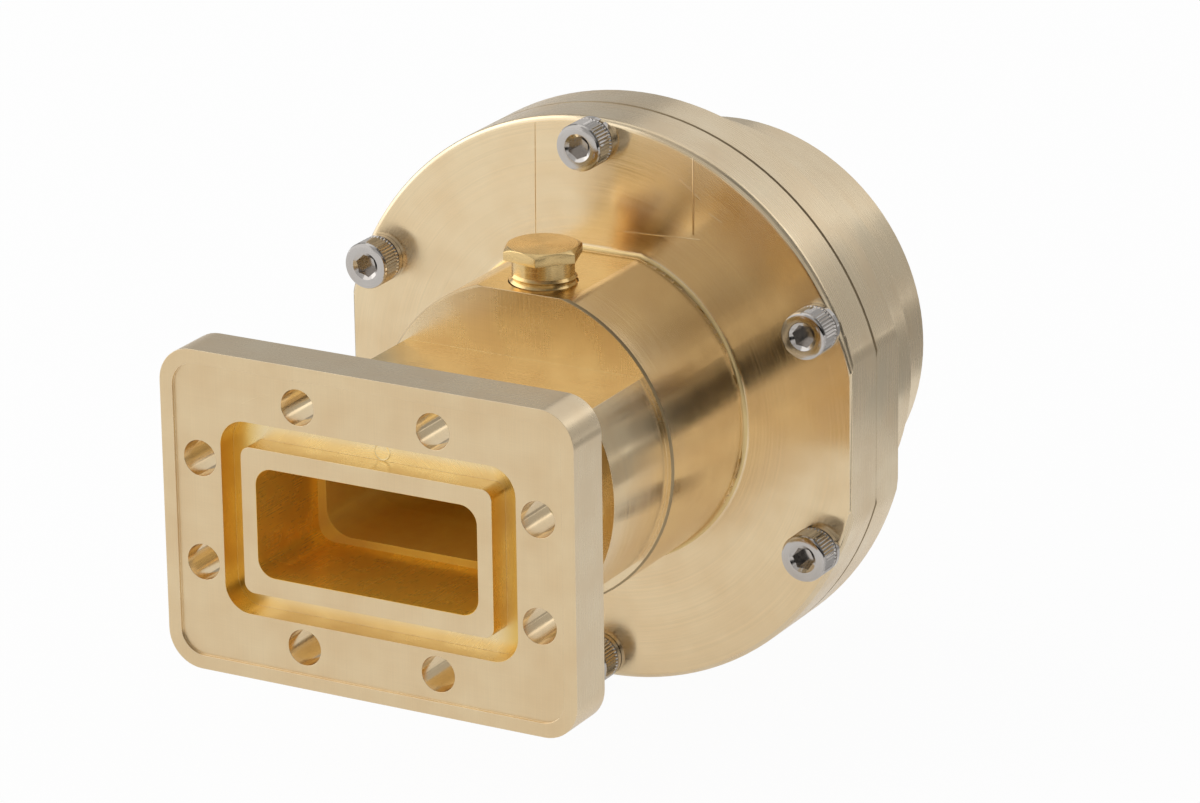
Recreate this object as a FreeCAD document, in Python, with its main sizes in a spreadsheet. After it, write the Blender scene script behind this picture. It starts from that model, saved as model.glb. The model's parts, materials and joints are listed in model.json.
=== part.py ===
"""Elliptical waveguide connector: flanged front body, clamped rear body and gas plug.

Frame: the origin is at the centre of the rectangular opening on the flange's
mating face. +Y runs from the mating face towards the cable end, +X is the broad
side of the opening, +Z is its narrow side, with the gas plug on top.
"""
import FreeCAD
import Part
import Sketcher
import math
import os
import re

doc = FreeCAD.newDocument("waveguide_connector")

# Driving sizes in millimetres and degrees.
SIZES = [
    ("guide_width", 34.85),
    ("guide_height", 15.84),
    ("guide_corner", 2.6),
    ("guide_length", 15.9),
    ("flange_width", 65.04),
    ("flange_height", 46.92),
    ("flange_thick", 7.6),
    ("flange_corner", 5.2),
    ("rim_width", 2.02),
    ("rim_height", 0.43),
    ("rim_corner", 3.6),
    ("groove_width", 46.44),
    ("groove_height", 28.08),
    ("groove_corner", 4.0),
    ("land_width", 39.54),
    ("land_height", 21.32),
    ("land_corner", 1.5),
    ("groove_depth", 3.7),
    ("bolt_hole", 5.21),
    ("bolt_near_x", 21.28),
    ("bolt_near_z", 34.96),
    ("bolt_far_x", 53.28),
    ("bolt_far_z", 15.24),
    ("neck_step", 2.5),
    ("neck_fillet", 1.0),
    ("shank_start", 27.9),
    ("shank_step", 0.9),
    ("shank_top", 13.05),
    ("shank_bottom", 14.7),
    ("barrel_start", 43.4),
    ("barrel_radius", 24.0),
    ("barrel_chamfer", 0.3),
    ("barrel_flat_cut", 1.15),
    ("barrel_fillet", 1.0),
    ("disc_start", 64.9),
    ("disc_lip", 3.2),
    ("disc_flat_cut", 1.6),
    ("disc_round", 1.0),
    ("flat_bevel", 0.3),
    ("front_disc_thick", 7.9),
    ("rear_disc_thick", 7.2),
    ("seam_chamfer", 0.25),
    ("step_one_width", 32.2),
    ("step_one_height", 13.6),
    ("step_one_corner", 4.0),
    ("step_one_end", 29.5),
    ("step_two_width", 34.0),
    ("step_two_height", 17.0),
    ("step_two_corner", 6.5),
    ("step_two_end", 45.0),
    ("step_three_width", 37.0),
    ("step_three_height", 20.2),
    ("step_three_corner", 9.0),
    ("step_three_end", 59.5),
    ("oval_width", 40.0),
    ("oval_height", 23.2),
    ("port_setback", 6.3),
    ("port_thread", 10.0),
    ("port_depth", 8.0),
    ("port_gas_hole", 3.0),
    ("plug_across", 10.3),
    ("plug_head", 1.75),
    ("plug_head_lift", 3.65),
    ("plug_top_width", 10.0),
    ("plug_corner_angle", 30.0),
    ("plug_turn", 11.4),
    ("plug_neck", 9.0),
    ("plug_neck_length", 1.9),
    ("plug_gap", 0.1),
    ("plug_end_gap", 0.9),
    ("seal_spacing", 3.0),
    ("seal_width", 2.6),
    ("seal_depth", 2.0),
    ("seal_side_gap", 0.2),
    ("seal_edge_cut", 0.5),
    ("screw_lip", 4.1),
    ("screw_angle", 25.0),
    ("screw_size", 4.0),
    ("screw_head_width", 7.0),
    ("screw_head_height", 4.0),
    ("screw_head_chamfer", 0.4),
    ("screw_socket", 3.0),
    ("screw_socket_depth", 2.2),
    ("screw_length", 14.0),
    ("screw_hole", 4.5),
    ("thread_gap", 0.05),
    ("washer_bore", 4.2),
    ("washer_width", 7.0),
    ("washer_thick", 0.9),
    ("washer_split", 0.5),
    ("shell_step", 4.4),
    ("shell_length", 16.3),
    ("collar_wall", 2.2),
    ("collar_length", 13.2),
    ("edge_break", 0.4),
    ("clamp_rim", 1.8),
    ("clamp_thick", 5.0),
    ("clamp_gap", 0.15),
    ("clamp_split", 0.5),
    ("conductor_wall", 0.4),
    ("clamp_flare", 1.4),
    ("cable_width", 52.4),
    ("cable_height", 31.6),
    ("boot_length", 13.5),
    ("boot_lip", 5.0),
    ("boot_wall", 2.6),
    ("boot_proud", 0.7),
    ("boot_rib", 0.6),
    ("boot_rib_width", 1.5),
    ("boot_rib_pitch", 3.6),
    ("cut_margin", 4.0),
]

sheet = doc.addObject("Spreadsheet::Sheet", "sizes")
for row, (alias, value) in enumerate(SIZES, start=1):
    sheet.set(f"A{row}", alias)
    sheet.set(f"B{row}", str(value))
    sheet.setAlias(f"B{row}", alias)
doc.recompute()

XY = "XY_Plane"
XZ = "XZ_Plane"


def bound(text):
    """Return an expression with every size name pointed at the sheet."""
    names = {alias for alias, _ in SIZES}
    return re.sub(r"[a-z_]+", lambda word: f"sizes.{word[0]}" if word[0] in names else word[0], text)


def size(text):
    """Return the present value of an expression in size names."""
    total = sheet.evalExpression(bound(text))
    return float(getattr(total, "Value", total))


def make_body(name):
    """Start one piece as a body."""
    body = doc.addObject("PartDesign::Body", name)
    body.Label = name
    return body


def plane_of(body, role):
    """Return one of the body's own origin planes."""
    for feature in body.Origin.OriginFeatures:
        if feature.Role == role:
            return feature
    raise ValueError(role)


def make_sketch(body, name, role, along="0"):
    """Start a sketch on a plane of the body; on XZ it stands at the distance along +Y."""
    sketch = body.newObject("Sketcher::SketchObject", name)
    sketch.AttachmentSupport = [(plane_of(body, role), "")]
    sketch.MapMode = "FlatFace"
    if along != "0":
        sketch.setExpression("AttachmentOffset.Base.z", f"-( {bound(along)} )")
    return sketch


def tie(sketch, index, expression):
    """Bind a constraint to an expression in size names."""
    sketch.setExpression(f"Constraints[{index}]", bound(expression))


def place_point(sketch, geometry, position, across, up):
    """Hold a point at two signed distances from the sketch's origin."""
    for kind, text in (("DistanceX", across), ("DistanceY", up)):
        value = size(text)
        if abs(value) < 1e-9:
            axis = -2 if kind == "DistanceX" else -1
            sketch.addConstraint(Sketcher.Constraint("PointOnObject", geometry, position, axis))
        elif value > 0:
            item = Sketcher.Constraint(kind, -1, 1, geometry, position, value)
            tie(sketch, sketch.addConstraint(item), text)
        else:
            item = Sketcher.Constraint(kind, geometry, position, -1, 1, -value)
            tie(sketch, sketch.addConstraint(item), f"-( {text} )")


def draw_polygon(sketch, corners):
    """Draw a closed outline whose corners are pairs of expressions."""
    points = [FreeCAD.Vector(size(across), size(up), 0) for across, up in corners]
    count = len(points)
    first = sketch.GeometryCount
    for index in range(count):
        sketch.addGeometry(Part.LineSegment(points[index], points[(index + 1) % count]), False)
    for index in range(count):
        following = first + (index + 1) % count
        sketch.addConstraint(Sketcher.Constraint("Coincident", first + index, 2, following, 1))
    for index, (across, up) in enumerate(corners):
        place_point(sketch, first + index, 1, across, up)


def hexagon_corners(across_flats, turned, up):
    """Return the corners of a hexagon, turned by some degrees, about a point up from the origin."""
    reach = f"{across_flats} / 2 / cos(30 * 1 deg )"
    corners = []
    for number in range(6):
        angle = f"( 60 * {number} + {turned} ) * 1 deg"
        corners.append((f"{reach} * cos({angle} )", f"{up} + {reach} * sin({angle} )"))
    return corners


def draw_circle(sketch, across, up, radius):
    """Draw a circle whose centre and radius are expressions."""
    centre = FreeCAD.Vector(size(across), size(up), 0)
    index = sketch.addGeometry(Part.Circle(centre, FreeCAD.Vector(0, 0, 1), size(radius)), False)
    tie(sketch, sketch.addConstraint(Sketcher.Constraint("Radius", index, size(radius))), radius)
    place_point(sketch, index, 3, across, up)


def draw_round_box(sketch, width, height, corner):
    """Draw a rectangle with round corners about the sketch's origin."""
    half_w = size(width) / 2
    half_h = size(height) / 2
    radius = size(corner)
    flat_w = half_w - radius
    flat_h = half_h - radius
    first = sketch.GeometryCount
    vector = FreeCAD.Vector
    sides = [
        (vector(half_w, -flat_h, 0), vector(half_w, flat_h, 0)),
        (vector(flat_w, half_h, 0), vector(-flat_w, half_h, 0)),
        (vector(-half_w, flat_h, 0), vector(-half_w, -flat_h, 0)),
        (vector(-flat_w, -half_h, 0), vector(flat_w, -half_h, 0)),
    ]
    centres = [
        vector(flat_w, flat_h, 0),
        vector(-flat_w, flat_h, 0),
        vector(-flat_w, -flat_h, 0),
        vector(flat_w, -flat_h, 0),
    ]
    for start, end in sides:
        sketch.addGeometry(Part.LineSegment(start, end), False)
    for turn, centre in enumerate(centres):
        circle = Part.Circle(centre, vector(0, 0, 1), radius)
        begin = turn * math.pi / 2
        sketch.addGeometry(Part.ArcOfCircle(circle, begin, begin + math.pi / 2), False)
    for turn in range(4):
        side = first + turn
        arc = first + 4 + turn
        following = first + (turn + 1) % 4
        sketch.addConstraint(Sketcher.Constraint("Tangent", side, 2, arc, 1))
        sketch.addConstraint(Sketcher.Constraint("Tangent", arc, 2, following, 1))
        direction = "Vertical" if turn % 2 == 0 else "Horizontal"
        sketch.addConstraint(Sketcher.Constraint(direction, side))
        if turn:
            sketch.addConstraint(Sketcher.Constraint("Equal", first + 4, arc))
    tie(sketch, sketch.addConstraint(Sketcher.Constraint("Radius", first + 4, radius)), corner)
    limits = [
        ("DistanceX", (-1, 1, first, 1), half_w, width),
        ("DistanceY", (-1, 1, first + 1, 1), half_h, height),
        ("DistanceX", (first + 2, 1, -1, 1), half_w, width),
        ("DistanceY", (first + 3, 1, -1, 1), half_h, height),
    ]
    for kind, ends, value, text in limits:
        item = Sketcher.Constraint(kind, *ends, value)
        tie(sketch, sketch.addConstraint(item), f"( {text} ) / 2")


def draw_oval(sketch, width, height):
    """Draw an ellipse about the origin with its long axis across."""
    vector = FreeCAD.Vector
    shape = Part.Ellipse(vector(size(width) / 2, 0, 0), vector(0, size(height) / 2, 0), vector(0, 0, 0))
    index = sketch.addGeometry(shape, False)
    sketch.exposeInternalGeometry(index)
    sketch.addConstraint(Sketcher.Constraint("Coincident", index, 3, -1, 1))
    long_axis = index + 1
    short_axis = index + 2
    sketch.addConstraint(Sketcher.Constraint("Horizontal", long_axis))
    for axis, text in ((long_axis, width), (short_axis, height)):
        item = Sketcher.Constraint("Distance", axis, size(text))
        tie(sketch, sketch.addConstraint(item), text)


def solid_volume(body):
    """Return the body's present volume."""
    return body.Shape.Volume if not body.Shape.isNull() else 0.0


def extrude(body, kind, name, sketch, length, forward=True, through=False):
    """Add a Pad or Pocket that runs towards +Y, or the other way."""
    before = solid_volume(body)
    feature = body.newObject(f"PartDesign::{kind}", name)
    feature.Profile = sketch
    if through:
        feature.Type = "ThroughAll"
    else:
        feature.setExpression("Length", bound(length))
    adds = kind == "Pad"
    feature.Reversed = forward if adds else not forward
    doc.recompute()
    grown = solid_volume(body) - before
    if (grown <= 0) if adds else (grown >= 0):
        raise RuntimeError(f"{body.Label}.{name} changed nothing")
    return feature


def turn(body, kind, name, sketch):
    """Add a Revolution or Groove about the vertical axis of a sketch."""
    before = solid_volume(body)
    feature = body.newObject(f"PartDesign::{kind}", name)
    feature.Profile = sketch
    feature.ReferenceAxis = (sketch, ["V_Axis"])
    feature.Angle = 360.0
    doc.recompute()
    grown = solid_volume(body) - before
    if (grown <= 0) if kind == "Revolution" else (grown >= 0):
        raise RuntimeError(f"{body.Label}.{name} changed nothing")
    return feature


def pick_edges(body, test):
    """Return the names of the tip's edges that pass a test."""
    edges = body.Tip.Shape.Edges
    return [f"Edge{index}" for index, edge in enumerate(edges, start=1) if test(edge)]


def ring_at(radius, along):
    """Return a test for round edges about the Y axis at a radius and a distance."""
    def test(edge):
        curve = edge.Curve
        if not isinstance(curve, Part.Circle) or abs(abs(curve.Axis.y) - 1) > 1e-6:
            return False
        on_axis = math.hypot(curve.Center.x, curve.Center.z) < 1e-4
        same = abs(curve.Radius - size(radius)) < 1e-3
        return on_axis and same and abs(curve.Center.y - size(along)) < 1e-3
    return test


def dress(body, kind, name, edges, value):
    """Add a Fillet or Chamfer to edges of the tip."""
    if not edges:
        raise RuntimeError(f"{body.Label}.{name} found no edge")
    base = body.Tip
    feature = body.newObject(f"PartDesign::{kind}", name)
    feature.Base = (base, edges)
    feature.setExpression("Radius" if kind == "Fillet" else "Size", bound(value))
    doc.recompute()
    return feature


SHANK_RADIUS = "( barrel_radius - shank_step )"
NECK_RADIUS = "( barrel_radius - shank_step - neck_step )"
PORT_PLACE = "( barrel_start + port_setback )"
BARREL_FLAT = "( barrel_radius - barrel_flat_cut )"
SEAM = "disc_start + front_disc_thick"
REAR_FACE = f"{SEAM} + rear_disc_thick"
SHELL_END = f"{REAR_FACE} + shell_length"
COLLAR_END = f"{SHELL_END} + collar_length"
BOOT_START = f"{COLLAR_END} - boot_lip - boot_length"

# Around the cable: collar, shell, screws and discs each stand out from the piece inside them.
COLLAR_RADIUS = "( cable_width / 2 + boot_wall + collar_wall )"
SHELL_RADIUS = f"( {COLLAR_RADIUS} + shell_step )"
SCREW_CIRCLE = f"( {SHELL_RADIUS} + screw_lip )"
DISC_RADIUS = f"( {SCREW_CIRCLE} + disc_lip )"
DISC_FLAT = f"( {DISC_RADIUS} - disc_flat_cut )"
CLAMP_RADIUS = "( cable_width / 2 + clamp_rim )"
SEAL_RADIUS = f"( {CLAMP_RADIUS} + seal_spacing )"
SCREW_X = f"{SCREW_CIRCLE} * cos(screw_angle * 1 deg )"
SCREW_Z = f"{SCREW_CIRCLE} * sin(screw_angle * 1 deg )"
SCREW_PLACES = [
    (SCREW_X, SCREW_Z),
    ("0", SCREW_CIRCLE),
    (f"-( {SCREW_X} )", SCREW_Z),
    (f"-( {SCREW_X} )", f"-( {SCREW_Z} )"),
    ("0", f"-( {SCREW_CIRCLE} )"),
    (SCREW_X, f"-( {SCREW_Z} )"),
]


def trim_to_box(body, name, along, length, sides):
    """Cut away everything outside a rectangle over a length along Y; its sides are -X, +X, -Z, +Z."""
    sketch = make_sketch(body, f"{name}_outline", XZ, along)
    left, right, low, high = sides
    reach = f"{DISC_RADIUS} + 2 * cut_margin"
    draw_polygon(sketch, [
        (f"-( {reach} )", f"-( {reach} )"),
        (reach, f"-( {reach} )"),
        (reach, reach),
        (f"-( {reach} )", reach),
    ])
    draw_polygon(sketch, [(left, low), (right, low), (right, high), (left, high)])
    return extrude(body, "Pocket", name, sketch, length)


PAST_DISC = f"{DISC_RADIUS} + cut_margin"
DISC_SIDES = (f"-( {DISC_FLAT} )", DISC_FLAT, f"-( {PAST_DISC} )", PAST_DISC)


# Front body: flange, neck, shank, barrel and front disc, turned and milled from one bar.
front = make_body("front_body")
profile = make_sketch(front, "turned_profile", XY)
draw_polygon(profile, [
    ("0", "flange_thick / 2"),
    (NECK_RADIUS, "flange_thick / 2"),
    (NECK_RADIUS, "shank_start"),
    (SHANK_RADIUS, "shank_start"),
    (SHANK_RADIUS, "barrel_start"),
    ("barrel_radius", "barrel_start"),
    ("barrel_radius", "disc_start"),
    (DISC_RADIUS, "disc_start"),
    (DISC_RADIUS, SEAM),
    ("0", SEAM),
])
turn(front, "Revolution", "turned_form", profile)
neck_ring = pick_edges(front, ring_at(NECK_RADIUS, "shank_start"))
dress(front, "Fillet", "neck_corner", neck_ring, "neck_fillet")
barrel_ring = pick_edges(front, ring_at("barrel_radius", "barrel_start"))
dress(front, "Chamfer", "barrel_edge", barrel_ring, "barrel_chamfer")
rim_ring = pick_edges(front, ring_at(DISC_RADIUS, "disc_start"))
dress(front, "Fillet", "rim_round", rim_ring, "disc_round")
seam_ring = pick_edges(front, ring_at(DISC_RADIUS, SEAM))
dress(front, "Chamfer", "seam_break", seam_ring, "seam_chamfer")

# The flats for the flange bolts' heads run from the flange to the barrel.
SHANK_SIDES = (f"-( {DISC_RADIUS} )", DISC_RADIUS, "-( shank_bottom )", "shank_top")
trim_to_box(front, "shank_flats", "0", "barrel_start", SHANK_SIDES)
# The port flat runs on top of the barrel.
port_cut = make_sketch(front, "port_flat_outline", XZ, "barrel_start")
draw_polygon(port_cut, [
    ("-( barrel_radius )", BARREL_FLAT),
    ("barrel_radius", BARREL_FLAT),
    ("barrel_radius", "barrel_radius + cut_margin"),
    ("-( barrel_radius )", "barrel_radius + cut_margin"),
])
extrude(front, "Pocket", "port_flat", port_cut, "disc_start - barrel_start")


def barrel_root(edge):
    """Tell whether an edge joins the barrel or its flat to the disc's face."""
    box = edge.BoundBox
    on_face = abs(box.YMin - size("disc_start")) < 1e-4 and abs(box.YMax - size("disc_start")) < 1e-4
    reach = max(math.hypot(vertex.X, vertex.Z) for vertex in edge.Vertexes)
    return on_face and reach < size("barrel_radius") + 0.01


dress(front, "Fillet", "barrel_root", pick_edges(front, barrel_root), "barrel_fillet")
trim_to_box(front, "disc_flats", "disc_start", "front_disc_thick", DISC_SIDES)


# Both flats have a narrow bevel along their front edge.
bevel = make_sketch(front, "flat_bevel_profile", XY)
for side in ("", "-"):
    draw_polygon(bevel, [
        (f"{side}( {DISC_FLAT} - flat_bevel )", "disc_start"),
        (f"{side}( {DISC_FLAT} + flat_bevel )", "disc_start - flat_bevel"),
        (f"{side}( {DISC_FLAT} + flat_bevel )", "disc_start + 2 * flat_bevel"),
    ])
bevel_cut = front.newObject("PartDesign::Pocket", "flat_bevels")
bevel_cut.Profile = bevel
bevel_cut.Midplane = True
bevel_cut.setExpression("Length", bound(f"{DISC_RADIUS} * 2"))
doc.recompute()

flange_outline = make_sketch(front, "flange_outline", XZ)
draw_round_box(flange_outline, "flange_width", "flange_height", "flange_corner")
extrude(front, "Pad", "flange", flange_outline, "flange_thick")

recess = make_sketch(front, "face_recess_outline", XZ)
draw_round_box(recess, "flange_width - 2 * rim_width", "flange_height - 2 * rim_width", "rim_corner")
draw_round_box(recess, "groove_width", "groove_height", "groove_corner")
extrude(front, "Pocket", "face_recess", recess, "rim_height")

groove = make_sketch(front, "gasket_groove_outline", XZ)
draw_round_box(groove, "groove_width", "groove_height", "groove_corner")
draw_round_box(groove, "land_width", "land_height", "land_corner")
extrude(front, "Pocket", "gasket_groove", groove, "groove_depth")

bolts = make_sketch(front, "bolt_hole_circles", XZ)
for side_x in ("", "-"):
    for side_z in ("", "-"):
        draw_circle(bolts, f"{side_x}( bolt_near_x ) / 2", f"{side_z}( bolt_near_z ) / 2", "bolt_hole / 2")
        draw_circle(bolts, f"{side_x}( bolt_far_x ) / 2", f"{side_z}( bolt_far_z ) / 2", "bolt_hole / 2")
extrude(front, "Pocket", "bolt_holes", bolts, "flange_thick")

# The guide: a rectangular mouth, three matching steps and the oval end.
mouth = make_sketch(front, "guide_mouth_outline", XZ)
draw_round_box(mouth, "guide_width", "guide_height", "guide_corner")
extrude(front, "Pocket", "guide_mouth", mouth, "guide_length")
starts = ["guide_length", "step_one_end", "step_two_end", "step_three_end"]
for number, step in enumerate(("step_one", "step_two", "step_three")):
    outline = make_sketch(front, f"{step}_outline", XZ, starts[number])
    draw_round_box(outline, f"{step}_width", f"{step}_height", f"{step}_corner")
    extrude(front, "Pocket", step, outline, f"{starts[number + 1]} - {starts[number]}")
oval = make_sketch(front, "guide_oval_outline", XZ, "step_three_end")
draw_oval(oval, "oval_width", "oval_height")
extrude(front, "Pocket", "guide_oval", oval, f"{SEAM} - step_three_end")

# The seal's groove in the back of the front disc.
seal_cut = make_sketch(front, "seal_groove_outline", XZ, f"{SEAM} - seal_depth")
draw_circle(seal_cut, "0", "0", f"{SEAL_RADIUS} + seal_width / 2 + seal_side_gap")
draw_circle(seal_cut, "0", "0", f"{SEAL_RADIUS} - seal_width / 2 - seal_side_gap")
extrude(front, "Pocket", "seal_groove", seal_cut, "seal_depth")

screw_holes = make_sketch(front, "screw_hole_circles", XZ, "disc_start")
for across, up in SCREW_PLACES:
    draw_circle(screw_holes, across, up, "screw_hole / 2")
extrude(front, "Pocket", "screw_holes", screw_holes, "front_disc_thick")

# The gas port: a threaded hole from the port flat and a small hole on into the guide.
port = make_sketch(front, "port_circle", XY)
port.setExpression("AttachmentOffset.Base.z", bound(f"{BARREL_FLAT} - port_depth"))
draw_circle(port, "0", PORT_PLACE, "port_thread / 2")
extrude(front, "Pocket", "gas_port", port, "port_depth", forward=False)
gas = make_sketch(front, "gas_hole_circle", XY)
draw_circle(gas, "0", PORT_PLACE, "port_gas_hole / 2")
extrude(front, "Pocket", "gas_hole", gas, f"{BARREL_FLAT} - port_depth / 2", forward=False)

# Rear body: rear disc, shell and collar with the cable's oval bore.
rear = make_body("rear_body")
profile = make_sketch(rear, "turned_profile", XY)
draw_polygon(profile, [
    ("0", SEAM),
    (DISC_RADIUS, SEAM),
    (DISC_RADIUS, REAR_FACE),
    (SHELL_RADIUS, REAR_FACE),
    (SHELL_RADIUS, SHELL_END),
    (COLLAR_RADIUS, SHELL_END),
    (COLLAR_RADIUS, COLLAR_END),
    ("0", COLLAR_END),
])
turn(rear, "Revolution", "turned_form", profile)
dress(rear, "Chamfer", "seam_break", pick_edges(rear, ring_at(DISC_RADIUS, SEAM)), "seam_chamfer")
edges = pick_edges(rear, ring_at(DISC_RADIUS, REAR_FACE))
edges += pick_edges(rear, ring_at(SHELL_RADIUS, SHELL_END))
edges += pick_edges(rear, ring_at(COLLAR_RADIUS, COLLAR_END))
dress(rear, "Chamfer", "outer_breaks", edges, "edge_break")
trim_to_box(rear, "disc_flats", SEAM, "rear_disc_thick", DISC_SIDES)

pocket = make_sketch(rear, "clamp_pocket_circle", XZ, SEAM)
draw_circle(pocket, "0", "0", CLAMP_RADIUS)
extrude(rear, "Pocket", "clamp_pocket", pocket, "clamp_thick")
bore = make_sketch(rear, "cable_bore_outline", XZ, SEAM)
draw_oval(bore, "cable_width", "cable_height")
extrude(rear, "Pocket", "cable_bore", bore, f"{COLLAR_END} - ( {SEAM} )")
boot_seat = make_sketch(rear, "boot_seat_outline", XZ, BOOT_START)
draw_oval(boot_seat, "cable_width + 2 * boot_wall", "cable_height + 2 * boot_wall")
extrude(rear, "Pocket", "boot_seat", boot_seat, "boot_length")
tapped = make_sketch(rear, "tapped_hole_circles", XZ, SEAM)
for across, up in SCREW_PLACES:
    draw_circle(tapped, across, up, "screw_size / 2")
extrude(rear, "Pocket", "tapped_holes", tapped, "rear_disc_thick")

# Gas plug: a thin hexagon head, a plain neck and the threaded end.
plug = make_body("gas_plug")
HEAD_BOTTOM = f"{BARREL_FLAT} + plug_head_lift"
PLUG_END = f"{BARREL_FLAT} - port_depth + plug_end_gap"
THREAD_TOP = f"{HEAD_BOTTOM} - plug_neck_length"
end_circle = make_sketch(plug, "thread_circle", XY)
end_circle.setExpression("AttachmentOffset.Base.z", bound(PLUG_END))
draw_circle(end_circle, "0", PORT_PLACE, "port_thread / 2 - plug_gap / 2")
extrude(plug, "Pad", "thread", end_circle, f"{THREAD_TOP} - ( {PLUG_END} )", forward=False)
neck_circle = make_sketch(plug, "neck_circle", XY)
neck_circle.setExpression("AttachmentOffset.Base.z", bound(THREAD_TOP))
draw_circle(neck_circle, "0", PORT_PLACE, "plug_neck / 2")
extrude(plug, "Pad", "neck", neck_circle, "plug_neck_length", forward=False)
hexagon = make_sketch(plug, "hexagon", XY)
hexagon.setExpression("AttachmentOffset.Base.z", bound(HEAD_BOTTOM))
draw_polygon(hexagon, hexagon_corners("plug_across", "-( plug_turn )", PORT_PLACE))
extrude(plug, "Pad", "head", hexagon, "plug_head", forward=False)
cone = make_sketch(plug, "corner_cut_profile", "YZ_Plane")
HEAD_TOP = f"{HEAD_BOTTOM} + plug_head"
CORNER_DROP = "( plug_across - plug_top_width / 2 ) * tan(plug_corner_angle * 1 deg )"
draw_polygon(cone, [
    (f"{PORT_PLACE} + plug_top_width / 2", HEAD_TOP),
    (f"{PORT_PLACE} + plug_across", HEAD_TOP),
    (f"{PORT_PLACE} + plug_across", f"{HEAD_TOP} - {CORNER_DROP}"),
])
corner_cut = plug.newObject("PartDesign::Groove", "corner_cut")
corner_cut.Profile = cone
axis_line = plug.newObject("PartDesign::Line", "plug_axis")
axis_line.setExpression("Placement.Base.y", bound(PORT_PLACE))
corner_cut.ReferenceAxis = (axis_line, [""])
corner_cut.Angle = 360.0
plug.Tip = corner_cut
doc.recompute()

# Seal between the discs.
seal = make_body("body_seal")
section = make_sketch(seal, "section", XY)
draw_polygon(section, [
    (f"{SEAL_RADIUS} - seal_width / 2", f"{SEAM} - seal_depth"),
    (f"{SEAL_RADIUS} + seal_width / 2", f"{SEAM} - seal_depth"),
    (f"{SEAL_RADIUS} + seal_width / 2", SEAM),
    (f"{SEAL_RADIUS} - seal_width / 2", SEAM),
])
turn(seal, "Revolution", "ring", section)
seal_rings = pick_edges(seal, lambda edge: isinstance(edge.Curve, Part.Circle))
dress(seal, "Chamfer", "edge_cut", seal_rings, "seal_edge_cut")

# Split clamp that grips the flared end of the cable's conductor.
for name, sign in (("clamp_upper", ""), ("clamp_lower", "-")):
    half = make_body(name)
    ring = make_sketch(half, "ring_outline", XZ, SEAM)
    draw_circle(ring, "0", "0", f"{CLAMP_RADIUS} - clamp_gap")
    draw_oval(ring, "oval_width + 2 * conductor_wall", "oval_height + 2 * conductor_wall")
    extrude(half, "Pad", "ring", ring, "clamp_thick")
    inner = [
        f"Edge{index}" for index, edge in enumerate(half.Tip.Shape.Edges, start=1)
        if isinstance(edge.Curve, Part.Ellipse) and abs(edge.BoundBox.YMin - size(SEAM)) < 1e-3
    ]
    dress(half, "Chamfer", "flare", inner, "clamp_flare")
    away = make_sketch(half, "half_cut_outline", XZ, SEAM)
    draw_polygon(away, [
        (f"-( {CLAMP_RADIUS} )", f"{sign}( clamp_split ) / 2"),
        (CLAMP_RADIUS, f"{sign}( clamp_split ) / 2"),
        (CLAMP_RADIUS, f"-( {CLAMP_RADIUS} )" if not sign else CLAMP_RADIUS),
        (f"-( {CLAMP_RADIUS} )", f"-( {CLAMP_RADIUS} )" if not sign else CLAMP_RADIUS),
    ])
    extrude(half, "Pocket", "half_cut", away, "clamp_thick")

# Rubber boot that seals on the cable's jacket, with ribs inside.
boot = make_body("jacket_seal")
wall = make_sketch(boot, "wall_outline", XZ, BOOT_START)
draw_oval(wall, "cable_width + 2 * boot_wall", "cable_height + 2 * boot_wall")
draw_oval(wall, "cable_width - 2 * boot_proud", "cable_height - 2 * boot_proud")
extrude(boot, "Pad", "wall", wall, "boot_length")
RIB_RISE = "2 * ( boot_proud + boot_rib )"
for number in range(3):
    rib_start = f"{BOOT_START} + boot_length / 2 - boot_rib_width / 2 + ( {number} - 1 ) * boot_rib_pitch"
    rib = make_sketch(boot, f"rib_outline_{number + 1}", XZ, rib_start)
    draw_oval(rib, "cable_width", "cable_height")
    draw_oval(rib, f"cable_width - {RIB_RISE}", f"cable_height - {RIB_RISE}")
    extrude(boot, "Pad", f"rib_{number + 1}", rib, "boot_rib_width")

# One cap screw and one spring washer, repeated at the six screw places.
screw = make_body("cap_screw_model")
HEAD_FACE = "disc_start - washer_thick - screw_head_height"
UNDER_HEAD = "disc_start - washer_thick"
profile = make_sketch(screw, "turned_profile", XY)
draw_polygon(profile, [
    ("0", HEAD_FACE),
    ("screw_head_width / 2 - screw_head_chamfer", HEAD_FACE),
    ("screw_head_width / 2", f"{HEAD_FACE} + screw_head_chamfer"),
    ("screw_head_width / 2", UNDER_HEAD),
    ("screw_size / 2 - thread_gap", UNDER_HEAD),
    ("screw_size / 2 - thread_gap", f"{UNDER_HEAD} + screw_length"),
    ("0", f"{UNDER_HEAD} + screw_length"),
])
turn(screw, "Revolution", "turned_form", profile)
socket = make_sketch(screw, "socket_outline", XZ, HEAD_FACE)
draw_polygon(socket, hexagon_corners("screw_socket", "0", "0"))
extrude(screw, "Pocket", "socket", socket, "screw_socket_depth")

washer = make_body("spring_washer_model")
outline = make_sketch(washer, "ring_outline", XZ, UNDER_HEAD)
draw_circle(outline, "0", "0", "washer_width / 2")
draw_circle(outline, "0", "0", "washer_bore / 2")
extrude(washer, "Pad", "ring", outline, "washer_thick")
split = make_sketch(washer, "split_outline", XZ, UNDER_HEAD)
draw_polygon(split, [
    ("-( washer_split ) / 2", "0"),
    ("washer_split / 2", "0"),
    ("washer_split / 2", "washer_width"),
    ("-( washer_split ) / 2", "washer_width"),
])
extrude(washer, "Pocket", "split", split, "washer_thick")


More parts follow.
